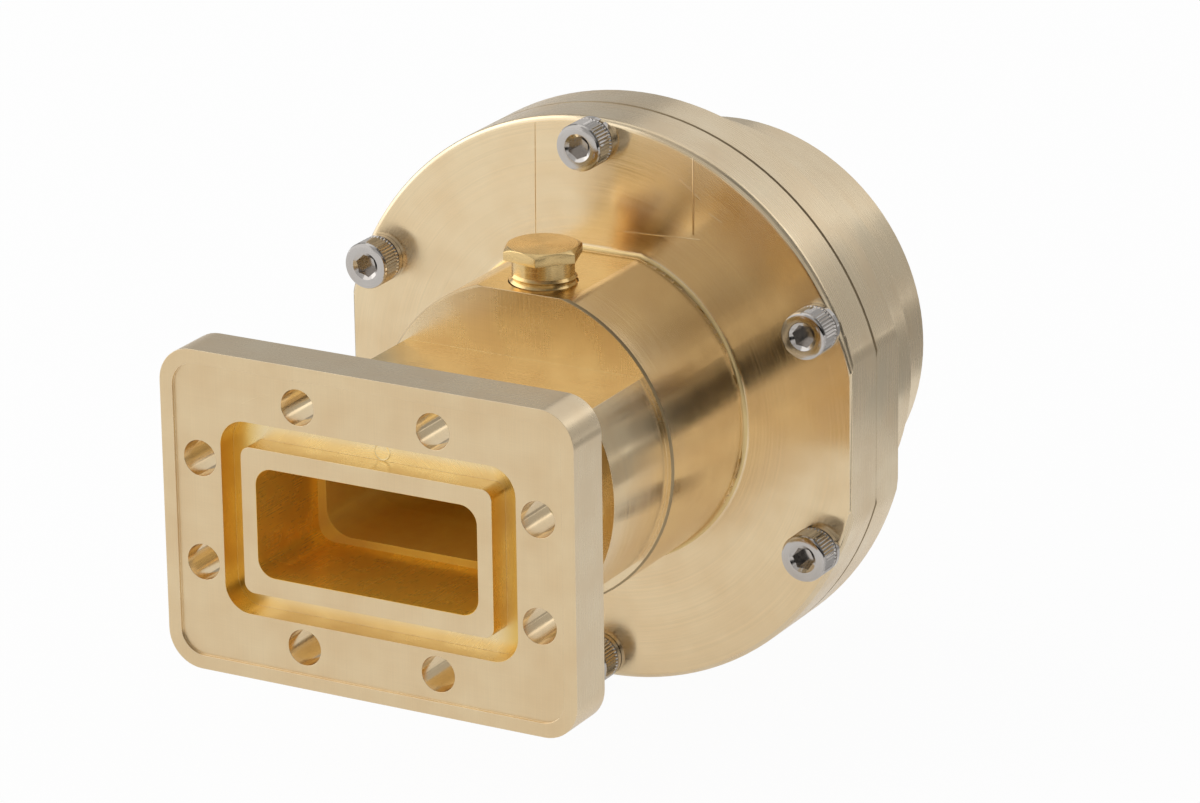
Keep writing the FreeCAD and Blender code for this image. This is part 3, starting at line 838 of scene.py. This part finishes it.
@dataclass
class FrontBody(MachinedBody):
    """The front body, from the flange to the front disc."""

    flange_back: float = 7.6 * MM
    flange_side: Pair = (29.5 * MM, 20.3 * MM)
    hole_radius: float = 17.0 * MM
    face_depth: float = 0.6 * MM
    groove_half: Pair = (23.4 * MM, 14.2 * MM)
    groove_floor: float = 3.9 * MM
    guide_half: Pair = (17.6 * MM, 8.1 * MM)
    mouth_depth: float = 15.5 * MM
    inner_half: Pair = (20.2 * MM, 11.8 * MM)
    disc_start: float = 64.9 * MM
    rim_radius: float = 40.4 * MM
    neck_radius: float = 20.9 * MM
    barrel_radius: float = 24.0 * MM
    barrel_start: float = 43.4 * MM
    barrel_chamfer: float = 0.35 * MM
    root_fillet: float = 1.3 * MM
    seam_start: float = 72.5 * MM

    def finish_of(self, centre: Vector, normal: Vector, reach: Vector) -> Finish:
        """Choose a face's finish, by where it lies and the way it faces.

        Args:
            centre: The face's centre.
            normal: Its normal.
            reach: Its furthest corner along each axis.

        Returns:
            The finish.
        """
        along, radius = centre.y, math.hypot(centre.x, centre.z)
        faces_y = abs(normal.y) > self.faces_y_from
        faces_out = centre.x * normal.x + centre.z * normal.z > 0 and not faces_y

        def within(half: Pair) -> bool:
            """Return whether the whole face lies inside a rectangle round the axis."""
            return reach.x < half[0] and reach.z < half[1]

        if along < self.face_depth and faces_y:
            return Finish.FLANGE_FACE
        if within(self.inner_half) and not (faces_out and along > self.flange_back):
            # The guide's inside takes the painted bounce-light finishes, the deep part the brighter one.
            if along > self.mouth_depth:
                return Finish.GUIDE_DEEP_INSIDE
            if along > self.groove_floor or (within(self.guide_half) and not faces_y):
                return Finish.GUIDE_INSIDE
        if within(self.groove_half) and along < self.groove_floor:
            return Finish.GASKET_GROOVE
        if along < self.flange_back + self.face_depth:
            if faces_y:
                return Finish.MILLED_FLAT
            if not within(self.flange_side):
                return Finish.FLANGE_END if abs(normal.x) > abs(normal.z) else Finish.FLANGE_SIDE
            return Finish.DRILLED_HOLE if radius > self.hole_radius else Finish.GUIDE_INSIDE
        if radius > self.rim_radius and not faces_y:
            # The seam's chamfers take the painted shade.
            if along > self.seam_start:
                return Finish.SEAM_EDGE
            return Finish.RIM_FLAT if abs(normal.x) > SQUARE_ON else Finish.RIM_SIDE
        if along > self.disc_start - self.face_depth:
            if faces_y:
                return Finish.DISC_FACE if along < self.disc_start + self.face_depth else Finish.TURNED_FACE
            past_root = radius > self.barrel_radius + self.root_fillet
            return Finish.DRILLED_HOLE if past_root else Finish.ROOT_FILLET
        if faces_y:
            return Finish.BARREL_FACE
        at_barrel = abs(radius - self.barrel_radius) < self.face_depth
        # The barrel's front chamfer takes the dark painted-shade finish.
        if at_barrel and along < self.barrel_start + self.barrel_chamfer:
            return Finish.BROKEN_EDGE
        if abs(normal.z) > SQUARE_ON:
            return Finish.MILLED_FLAT
        return Finish.NECK_SIDE if radius < self.neck_radius else Finish.TURNED_SIDE


@dataclass
class RearBody(MachinedBody):
    """The rear body, from the rear disc to the collar's end."""

    inner_radius: float = 28.9 * MM
    seam_radius: float = 41.0 * MM
    seam_end: float = 73.1 * MM

    def finish_of(self, centre: Vector, normal: Vector, reach: Vector) -> Finish:
        """Choose a face's finish, by where it lies and the way it faces.

        Args:
            centre: The face's centre.
            normal: Its normal.
            reach: Its furthest corner along each axis.

        Returns:
            The finish.
        """
        radius = math.hypot(centre.x, centre.z)
        if abs(normal.y) > self.faces_y_from:
            return Finish.TURNED_FACE
        # The seam's chamfers take the painted shade.
        if radius > self.seam_radius and centre.y < self.seam_end:
            return Finish.SEAM_EDGE
        if radius < self.inner_radius:
            return Finish.TURNED_SIDE
        return Finish.RIM_FLAT if abs(normal.x) > SQUARE_ON else Finish.RIM_SIDE


class GeometryTree:
    """A Geometry Nodes tree with named inputs, built in the script and used up by one object."""

    def __init__(self, name: str, *numbers: str, **others: str) -> None:
        """Start a tree, with a geometry and a material among its inputs.

        Args:
            name: The tree's name.
            numbers: The names of the inputs that are numbers.
            others: The socket type of each other input, by its name.
        """
        inputs = dict.fromkeys(numbers, "NodeSocketFloat") | others | {"Material": "NodeSocketMaterial"}
        self.tree = bpy.data.node_groups.new(name, "GeometryNodeTree")
        self.identifiers = {}
        self.tree.interface.new_socket("Geometry", in_out="INPUT", socket_type="NodeSocketGeometry")
        for label, kind in inputs.items():
            socket = self.tree.interface.new_socket(label, in_out="INPUT", socket_type=kind)
            self.identifiers[label] = socket.identifier
        self.tree.interface.new_socket("Geometry", in_out="OUTPUT", socket_type="NodeSocketGeometry")
        self.writer = NodeWriter(self.tree)
        self.entry = self.writer.add("NodeGroupInput")

    def given(self, label: str) -> Socket:
        """Return the socket of a named input."""
        return self.entry.outputs[label]

    def finish(self, geometry: Socket) -> None:
        """End the tree in Realize Instances and Set Material.

        Args:
            geometry: What the tree has made.
        """
        realized = self.writer.out("GeometryNodeRealizeInstances", {"Geometry": geometry})
        inputs = {"Geometry": realized, "Material": self.given("Material")}
        dressed = self.writer.out("GeometryNodeSetMaterial", inputs)
        self.writer.add("NodeGroupOutput", {0: dressed})

    def apply(self, piece: Piece, name: str, values: dict[str, object]) -> Piece:
        """Run the tree on an object.

        Args:
            piece: The object whose mesh goes in. It is used up.
            name: The finished object's name.
            values: The inputs' values by name.

        Returns:
            The result as a plain mesh object.
        """
        modifier = piece.modifiers.new("nodes", "NODES")
        modifier.node_group = self.tree
        for label, value in values.items():
            modifier[self.identifiers[label]] = value
        return plain_mesh(piece, name)


def knurl_tree() -> GeometryTree:
    """Build a tree that presses straight grooves into the side of a round head about the Z axis.

    Returns:
        The tree, with the number, depth and reach of the grooves as inputs.
    """
    tree = GeometryTree("straight_knurl", "Count", "Depth", "Low", "High", "Inner Radius")
    writer = tree.writer
    across, along, up = writer.split(writer.out("GeometryNodeInputPosition"))
    flat = writer.combine(across, along, 0.0)
    angle = writer.math("ARCTAN2", along, across)
    ripple = writer.math("COSINE", writer.product(angle, tree.given("Count")))
    groove = writer.product(writer.math("SUBTRACT", ripple, 1.0), 0.5)
    above = writer.math("GREATER_THAN", up, tree.given("Low"))
    below = writer.math("LESS_THAN", up, tree.given("High"))
    outside = writer.math("GREATER_THAN", writer.measure("LENGTH", flat), tree.given("Inner Radius"))
    amount = writer.product(groove, tree.given("Depth"), above, below, outside)
    offset = writer.scale(writer.vector("NORMALIZE", flat), amount)
    tree.finish(writer.out("GeometryNodeSetPosition", {"Geometry": tree.given("Geometry"), "Offset": offset}))
    return tree


def repeat_tree() -> GeometryTree:
    """Build a tree that stands a piece at each vertex, turned about Y by the vertex's own angle.

    Returns:
        The tree, with the piece as an input.
    """
    tree = GeometryTree("repeat_at_places", Piece="NodeSocketObject")
    writer = tree.writer
    points = writer.out("GeometryNodeMeshToPoints", {"Mesh": tree.given("Geometry")})
    piece = writer.add("GeometryNodeObjectInfo", {"Object": tree.given("Piece")}).outputs["Geometry"]
    angle = writer.out("GeometryNodeInputNamedAttribute", {"Name": "turn"}, data_type="FLOAT")
    turned = writer.combine(0.0, angle, 0.0)
    spread = {"Points": points, "Instance": piece, "Rotation": turned}
    tree.finish(writer.out("GeometryNodeInstanceOnPoints", spread))
    return tree


def thread_tree() -> GeometryTree:
    """Build a tree that winds a pointed ridge about the Z axis and adds it to the piece.

    Returns:
        The tree, with the thread's turns, radius, ridge, rise and start as inputs.
    """
    tree = GeometryTree("screw_thread", "Turns", "Radius", "Ridge", "Rise", Start="NodeSocketVector")
    writer = tree.writer
    line = writer.out("GeometryNodeCurveSpiral", {
        "Resolution": 72,
        "Rotations": tree.given("Turns"),
        "Start Radius": tree.given("Radius"),
        "End Radius": tree.given("Radius"),
        "Height": tree.given("Rise"),
    })
    size = {"Resolution": 4, "Radius": tree.given("Ridge")}
    diamond = writer.out("GeometryNodeCurvePrimitiveCircle", size, mode="RADIUS")
    upright = writer.out("GeometryNodeSetCurveNormal", {"Curve": line}, mode="Z_UP")
    parts = {"Curve": upright, "Profile Curve": diamond, "Fill Caps": True}
    ridge = writer.out("GeometryNodeCurveToMesh", parts)
    move = {"Geometry": ridge, "Translation": tree.given("Start")}
    placed = writer.out("GeometryNodeTransform", move)
    both = writer.add("GeometryNodeJoinGeometry")
    writer.tree.links.new(tree.given("Geometry"), both.inputs[0])
    writer.tree.links.new(placed, both.inputs[0])
    tree.finish(both.outputs[0])
    return tree


@dataclass
class GasPlug:
    """The gas port's plug: a thin hexagon head, a plain neck and a thread."""

    across: float = 10.3 * MM
    head: float = 1.75 * MM
    top_radius: float = 5.0 * MM
    corner_angle: float = math.radians(30)
    turned: float = math.radians(-11.4)
    neck_radius: float = 4.5 * MM
    neck_length: float = 1.9 * MM
    root_radius: float = 4.5 * MM
    crest_radius: float = 4.88 * MM
    pitch: float = 1.0 * MM
    tip_chamfer: float = 0.5 * MM
    runout: float = 0.25 * MM
    edge_break: float = 0.1 * MM
    edge_angle: float = 20.0
    smooth_angle: float = 30.0
    segments: int = 96

    def build(self, shelf: FinishShelf, thread: GeometryTree) -> Piece:
        """Make the plug.

        Args:
            shelf: The finishes' materials.
            thread: The tree that winds a thread.

        Returns:
            The finished plug.
        """
        low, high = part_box("gas_plug")
        total = high.z - low.z
        head_bottom = total - self.head
        drop = (self.across - self.top_radius) * math.tan(self.corner_angle)
        head = from_bmesh("plug_head", hexagon_prism(self.across, head_bottom, total, self.turned))
        cone = from_bmesh("plug_cone", lathe([
            (0, head_bottom - self.head),
            (self.across, head_bottom - self.head),
            (self.across, total - drop),
            (self.top_radius, total),
            (0, total),
        ], self.segments))
        head = combine(head, cone, "INTERSECT")
        thread_top = head_bottom - self.neck_length
        stem = from_bmesh("plug_stem", lathe([
            (0, 0),
            (self.root_radius - self.tip_chamfer, 0),
            (self.root_radius, self.tip_chamfer),
            (self.root_radius, thread_top - self.runout),
            (self.neck_radius, thread_top),
            (self.neck_radius, head_bottom),
            (0, head_bottom),
        ], self.segments))
        break_edges(head, self.edge_break, self.edge_angle)
        head = plain_mesh(head, "plug_head")
        shape = bmesh.new()
        shape.from_mesh(head.data)
        shape.from_mesh(stem.data)
        bpy.data.objects.remove(head)
        bpy.data.objects.remove(stem)
        piece = from_bmesh("gas_plug_dressed", shape)
        rise = thread_top - self.tip_chamfer - self.pitch
        ridge = self.crest_radius - self.root_radius
        piece = thread.apply(piece, "gas_plug_turned", {
            "Turns": rise / self.pitch,
            "Radius": self.root_radius,
            "Ridge": ridge,
            "Rise": rise,
            "Start": (0.0, 0.0, self.tip_chamfer + ridge),
            "Material": shelf.get(Finish.PLUG_TURNED),
        })
        centre = (low + high) / 2
        piece.data.transform(Matrix.Translation((centre.x, centre.y, low.z)))
        smooth_by_angle(piece.data, self.smooth_angle)
        return hand_over(piece, "gas_plug")


@dataclass
class CapScrews:
    """Six socket cap screws with knurled heads, and the split washers under them."""

    head_radius: float = 3.5 * MM
    head_height: float = 4.0 * MM
    chamfer: float = 0.35 * MM
    chamfer_shoulder: Pair = (0.35, 0.3)
    shank_radius: float = 1.95 * MM
    shank_tip: float = 0.5 * MM
    socket_across: float = 3.0 * MM
    socket_depth: float = 2.2 * MM
    countersink: float = 0.35 * MM
    countersink_slope: float = 0.62
    smooth_band: float = 0.75 * MM
    knurl_count: int = 42
    knurl_depth: float = 0.22 * MM
    knurl_end: float = 0.45 * MM
    knurl_reach: Triple = (0.9, 0.98, 0.99)
    steps_per_groove: int = 6
    side_steps: int = 10
    washer_outer: float = 3.5 * MM
    washer_inner: float = 2.1 * MM
    washer_rise: float = 0.14 * MM
    washer_gap: float = math.radians(11)
    washer_steps: int = 56
    smooth_angle: float = 28.0
    angles: tuple[float, ...] = (25.0, 90.0, 155.0, 205.0, 270.0, 335.0)
    turns: tuple[float, ...] = (0.15, 0.62, 0.30, 0.81, 0.44, 0.05)
    washer_turns: tuple[float, ...] = (2.1, 5.2, 3.6, 0.4, 1.3, 4.4)

    def head_mesh(self, knurl: GeometryTree, material: Material) -> Piece:
        """Make one screw standing on the Z axis, its head's face up at the origin.

        Args:
            knurl: The tree that presses the knurl.
            material: The screw's material.

        Returns:
            The screw.
        """
        radius, height, tip = self.head_radius, self.head_height, self.shank_tip
        band = height - self.smooth_band - self.knurl_end
        low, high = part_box("cap_screws")
        length = high.y - low.y
        socket_radius = self.socket_across / 2 / math.cos(math.pi / 6) + self.countersink
        side = [
            (radius, -height + self.knurl_end + band * step / self.side_steps)
            for step in range(self.side_steps + 1)
        ]
        screw = from_bmesh("screw_blank", lathe([
            (0, -length),
            (self.shank_radius - tip, -length),
            (self.shank_radius, -length + tip),
            (self.shank_radius, -height),
            (radius - self.knurl_depth, -height),
            (radius, -height + self.knurl_depth),
            *side,
            (radius, -self.chamfer),
            (radius - self.chamfer * self.chamfer_shoulder[0], -self.chamfer * self.chamfer_shoulder[1]),
            (radius - self.chamfer, 0),
            (socket_radius, 0),
            (0, -socket_radius * self.countersink_slope),
        ], self.knurl_count * self.steps_per_groove))
        socket = from_bmesh("screw_socket", hexagon_prism(self.socket_across, -self.socket_depth, height))
        screw = combine(screw, socket, "DIFFERENCE")
        return knurl.apply(screw, "screw_model", {
            "Count": float(self.knurl_count),
            "Depth": self.knurl_depth,
            "Low": -height + self.knurl_end * self.knurl_reach[0],
            "High": -self.smooth_band * self.knurl_reach[1],
            "Inner Radius": radius * self.knurl_reach[2],
            "Material": material,
        })

    def washer_mesh(self) -> Piece:
        """Make one split washer about the Z axis, its upper face at the origin.

        Returns:
            The washer.
        """
        low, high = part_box("spring_washers")
        thick = high.y - low.y - self.washer_rise
        inner, outer = self.washer_inner, self.washer_outer
        shape = bmesh.new()
        sections = []
        for step in range(self.washer_steps + 1):
            share = step / self.washer_steps
            angle = self.washer_gap / 2 + (2 * math.pi - self.washer_gap) * share
            lift = -self.washer_rise * share
            sections.append([
                shape.verts.new((radius * math.cos(angle), radius * math.sin(angle), lift - drop))
                for radius, drop in ((inner, 0), (outer, 0), (outer, thick), (inner, thick))
            ])
        bridge(shape, sections)
        shape.faces.new(sections[0])
        shape.faces.new(sections[-1])
        bmesh.ops.recalc_face_normals(shape, faces=shape.faces)
        return from_bmesh("washer_model", shape)

    def remember_place(self, piece: Piece) -> None:
        """Keep each vertex's place about the piece's own axis, for the finish.

        Args:
            piece: A screw or a washer.
        """
        mesh = piece.data
        attribute = mesh.attributes.new(LOCAL_PLACE, "FLOAT_VECTOR", "POINT")
        for vertex, stored in zip(mesh.vertices, attribute.data):
            stored.vector = (vertex.co.x, vertex.co.z, vertex.co.y)

    def places(self, name: str, along: float, turns: tuple[float, ...]) -> Piece:
        """Mark the places on the screw circle, with a turn for each.

        Args:
            name: The mesh's name.
            along: Its place along the guide.
            turns: The turns, in radians.

        Returns:
            The vertices as one object.
        """
        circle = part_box("cap_screws")[1].z - self.head_radius
        mesh = bpy.data.meshes.new(name)
        turned = [math.radians(angle) for angle in self.angles]
        mesh.from_pydata([(circle * math.cos(a), along, circle * math.sin(a)) for a in turned], [], [])
        attribute = mesh.attributes.new("turn", "FLOAT", "POINT")
        for stored, turn in zip(attribute.data, turns):
            stored.value = turn
        return link_mesh(name, mesh)

    def build(self, shelf: FinishShelf, knurl: GeometryTree, repeat: GeometryTree) -> list[Piece]:
        """Make the screws and the washers.

        Args:
            shelf: The finishes' materials.
            knurl: The tree that presses the knurl.
            repeat: The tree that stands a piece at each place.

        Returns:
            The two finished pieces.
        """
        material = shelf.get(Finish.STAINLESS)
        pieces = []
        for node, model, turns in (
            ("cap_screws", self.head_mesh(knurl, material), self.turns),
            ("spring_washers", self.washer_mesh(), self.washer_turns),
        ):
            self.remember_place(model)
            model.data.transform(Matrix.Rotation(math.pi / 2, 4, "X"))
            smooth_by_angle(model.data, self.smooth_angle)
            spots = self.places(f"{node}_places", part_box(node)[0].y, turns)
            piece = repeat.apply(spots, f"{node}_dressed", {"Piece": model, "Material": material})
            bpy.data.objects.remove(model)
            pieces.append(hand_over(piece, node))
        return pieces


@dataclass
class InnerPieces:
    """The clamp halves and the seals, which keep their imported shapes."""

    finishes: tuple[tuple[str, Finish], ...] = (
        ("clamp_upper", Finish.TURNED_FACE),
        ("clamp_lower", Finish.TURNED_FACE),
        ("body_seal", Finish.SEAL_RUBBER),
        ("jacket_seal", Finish.SEAL_RUBBER),
    )

    def dress(self, frame: dict, shelf: FinishShelf) -> None:
        """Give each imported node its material.

        Args:
            shelf: The finishes' materials.
        """
        for node, finish in self.finishes:
            materials = frame["nodes"][node].data.materials
            materials.clear()
            materials.append(shelf.get(finish))


def towards(azimuth: float, elevation: float = 0.0) -> Vector:
    """Return the direction at an angle round from the viewer's side and an angle up, both in radians."""
    flat = math.cos(elevation)
    return Vector((math.sin(azimuth) * flat, -math.cos(azimuth) * flat, math.sin(elevation)))


def stage_mesh(name: str, points: list, faces: list, material: Material) -> Piece:
    """Put a mesh into the scene that isn't part of the object.

    Args:
        name: The mesh's name.
        points: Its vertices.
        faces: Its faces, each as the numbers of its vertices.
        material: Its material.

    Returns:
        The staged object.
    """
    mesh = bpy.data.meshes.new(name)
    mesh.from_pydata([tuple(point) for point in points], [], faces)
    mesh.materials.append(material)
    staged = link_mesh(name, mesh)
    staged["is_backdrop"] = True
    return staged


@dataclass
class Studio:
    """The white floor and surroundings, and a soft tent of panels that only light and reflections show."""

    floor_size: float = 6.0
    floor_gap: float = 0.4 * MM
    floor_glow: float = 0.52
    floor_white: float = 0.96
    floor_colour: Quad = (0.9, 0.9, 0.9, 1.0)
    tent_radius: float = 2.0
    tent_rows: tuple[float, ...] = (0.0, 24.0, 56.0, 90.0)
    tent_top: float = 89.9
    tent_columns: int = 8
    patch_steps: int = 6
    levels: tuple[float, ...] = (
        0.50, 0.70, 0.06, 0.46, 0.50, 0.50, 1.80, 0.95,
        0.60, 0.36, 0.15, 1.25, 0.75, 0.35, 2.10, 1.30,
        0.40, 0.20, 0.10, 0.70, 0.90, 1.00, 0.70, 0.40,
    )
    flag_distance: float = 0.28
    flag_azimuth: float = 32.0
    flag_width: float = 0.34
    flag_top: float = 0.05
    flag_tone: float = 0.0
    floor_cards: tuple[tuple[str, Quad, float], ...] = (
        ("grey_card_right", (0.055, 0.0, 0.555, 0.183), 0.68),
        ("grey_card_far_right", (0.055, 0.183, 0.555, 0.6), 0.34),
        ("grey_card_left", (-0.4, 0.12, -0.05, 0.6), 0.5),
        ("grey_card_front", (0.07, -0.12, 0.2, -0.04), 0.70),
    )

    def build_world(self) -> None:
        """Make the white surroundings."""
        world = bpy.data.worlds.new("white_studio")
        bpy.context.scene.world = world
        world.use_nodes = True
        writer = NodeWriter(world.node_tree)
        light = writer.add("ShaderNodeBackground", {"Color": (1, 1, 1, 1), "Strength": 1.0})
        writer.add("ShaderNodeOutputWorld", {"Surface": light.outputs[0]})

    def build_floor(self) -> None:
        """Make the pale floor just under the object."""
        half, height = self.floor_size / 2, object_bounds()[0][2] - self.floor_gap
        corners = [(-half, -half, height), (half, -half, height), (half, half, height), (-half, half, height)]
        material, writer = new_material("pale_floor")
        path = writer.add("ShaderNodeLightPath")
        mirrored = writer.math("MAXIMUM", path.outputs["Is Glossy Ray"], path.outputs["Is Transmission Ray"])
        seen = writer.product(path.outputs["Is Camera Ray"], self.floor_white)
        share = writer.math("ADD", writer.product(mirrored, self.floor_glow), seen)
        plain = writer.add("ShaderNodeBsdfDiffuse", {"Color": self.floor_colour})
        shaders = {0: share, 1: plain.outputs[0], 2: writer.glow(1.0).outputs[0]}
        writer.surface(writer.add("ShaderNodeMixShader", shaders))
        stage_mesh("floor", corners, [(0, 1, 2, 3)], material)

    def build_tent(self) -> None:
        """Make the tent, one mesh with a level kept on each panel's faces."""
        points, faces, levels = [], [], []
        width = 360.0 / self.tent_columns
        foot = Vector((0, 0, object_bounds()[0][2] - self.floor_gap))
        for row, (bottom, top) in enumerate(zip(self.tent_rows, self.tent_rows[1:])):
            height = (top - bottom) / self.patch_steps
            for column in range(self.tent_columns):
                level = self.levels[row * self.tent_columns + column]
                for across, up in product(range(self.patch_steps), repeat=2):
                    start = len(points)
                    for side, rise in ((0, 0), (1, 0), (1, 1), (0, 1)):
                        azimuth = (column - 0.5 + (across + side) / self.patch_steps) * width
                        elevation = min(bottom + (up + rise) * height, self.tent_top)
                        facing = towards(math.radians(azimuth), math.radians(elevation))
                        points.append(facing * self.tent_radius + foot)
                    faces.append((start + 3, start + 2, start + 1, start))
                    levels.append(level)
        material, writer = new_material("tent_cloth")
        writer.surface(writer.glow(writer.add("ShaderNodeAttribute", attribute_name="level").outputs["Fac"]))
        tent = stage_mesh("soft_tent", points, faces, material)
        tent.data.attributes.new("level", "FLOAT", "FACE").data.foreach_set("value", levels)
        tent.visible_camera = False

    def add_card(self, name: str, corners: list[Vector], tone: float) -> None:
        """Stand or lay a plain card that only reflections show.

        Args:
            name: The card's name.
            corners: Its four corners.
            tone: How bright it looks.
        """
        material, writer = new_material(name)
        writer.surface(writer.glow(tone))
        card = stage_mesh(name, corners, [(0, 1, 2, 3)], material)
        card.visible_camera = False
        card.visible_diffuse = False
        card.visible_shadow = False

    def build_cards(self) -> None:
        """Stand a low black card before the object and lay grey ones on the floor behind it."""
        turn = math.radians(self.flag_azimuth)
        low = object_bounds()[0][2]
        middle = towards(turn) * self.flag_distance
        side = towards(turn + math.pi / 2) * self.flag_width / 2
        places = ((-1, low), (1, low), (1, self.flag_top), (-1, self.flag_top))
        corners = [middle + side * sign + Vector((0, 0, z)) for sign, z in places]
        self.add_card("black_card", corners, self.flag_tone)
        for name, (left, front, right, back), tone in self.floor_cards:
            spots = ((left, front), (right, front), (right, back), (left, back))
            self.add_card(name, [Vector((x, y, low - self.floor_gap / 2)) for x, y in spots], tone)

    def build(self) -> None:
        """Make the whole studio."""
        self.build_world()
        self.build_floor()
        self.build_tent()
        self.build_cards()


@dataclass
class PhotoCamera:
    """The photograph's camera, as fitted to the flange, its holes and the turned steps."""

    azimuth: float = 0.50800
    elevation: float = 0.33700
    roll: float = -0.013
    distance: float = 803.75 * MM
    target: Triple = (14.303 * MM, 40.0 * MM, 9.961 * MM)
    focal_pixels: float = 5758.43
    frame_pixels: float = 1200.0
    sensor: float = 36.0
    clip: Pair = (0.05, 20.0)

    def build(self) -> None:
        """Set up the scene's camera."""
        back = towards(self.azimuth, self.elevation)
        right = (-back).cross(Vector((0, 0, 1))).normalized()
        up = right.cross(-back)
        turned_right = math.cos(self.roll) * right + math.sin(self.roll) * up
        turned_up = math.cos(self.roll) * up - math.sin(self.roll) * right
        facing = Matrix((turned_right, turned_up, back)).transposed().to_4x4()
        data = bpy.data.cameras.new("photo_camera")
        data.sensor_width = self.sensor
        data.lens = self.focal_pixels / self.frame_pixels * self.sensor
        data.clip_start, data.clip_end = self.clip
        camera = bpy.data.objects.new("photo_camera", data)
        camera.matrix_world = Matrix.Translation(Vector(self.target) + back * self.distance) @ facing
        bpy.context.scene.collection.objects.link(camera)
        bpy.context.scene.camera = camera


def main() -> None:
    """Build the connector's looks, the studio and the camera."""
    logging.basicConfig(level=logging.INFO, format="%(name)s: %(message)s")
    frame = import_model()
    shelf = FinishShelf()
    bodies = [FrontBody("front_body", "front_body_dressed"), RearBody("rear_body", "rear_body_dressed")]
    pieces = [body.build(frame, shelf) for body in bodies]
    pieces.append(GasPlug().build(shelf, thread_tree()))
    pieces += CapScrews().build(shelf, knurl_tree(), repeat_tree())
    InnerPieces().dress(frame, shelf)
    for piece in pieces:
        LOG.info("%s: %d faces", piece.name, len(piece.data.polygons))
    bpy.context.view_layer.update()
    Studio().build()
    PhotoCamera().build()
    bpy.context.scene.view_settings.view_transform = "Standard"


if __name__ == "__main__":
    main()
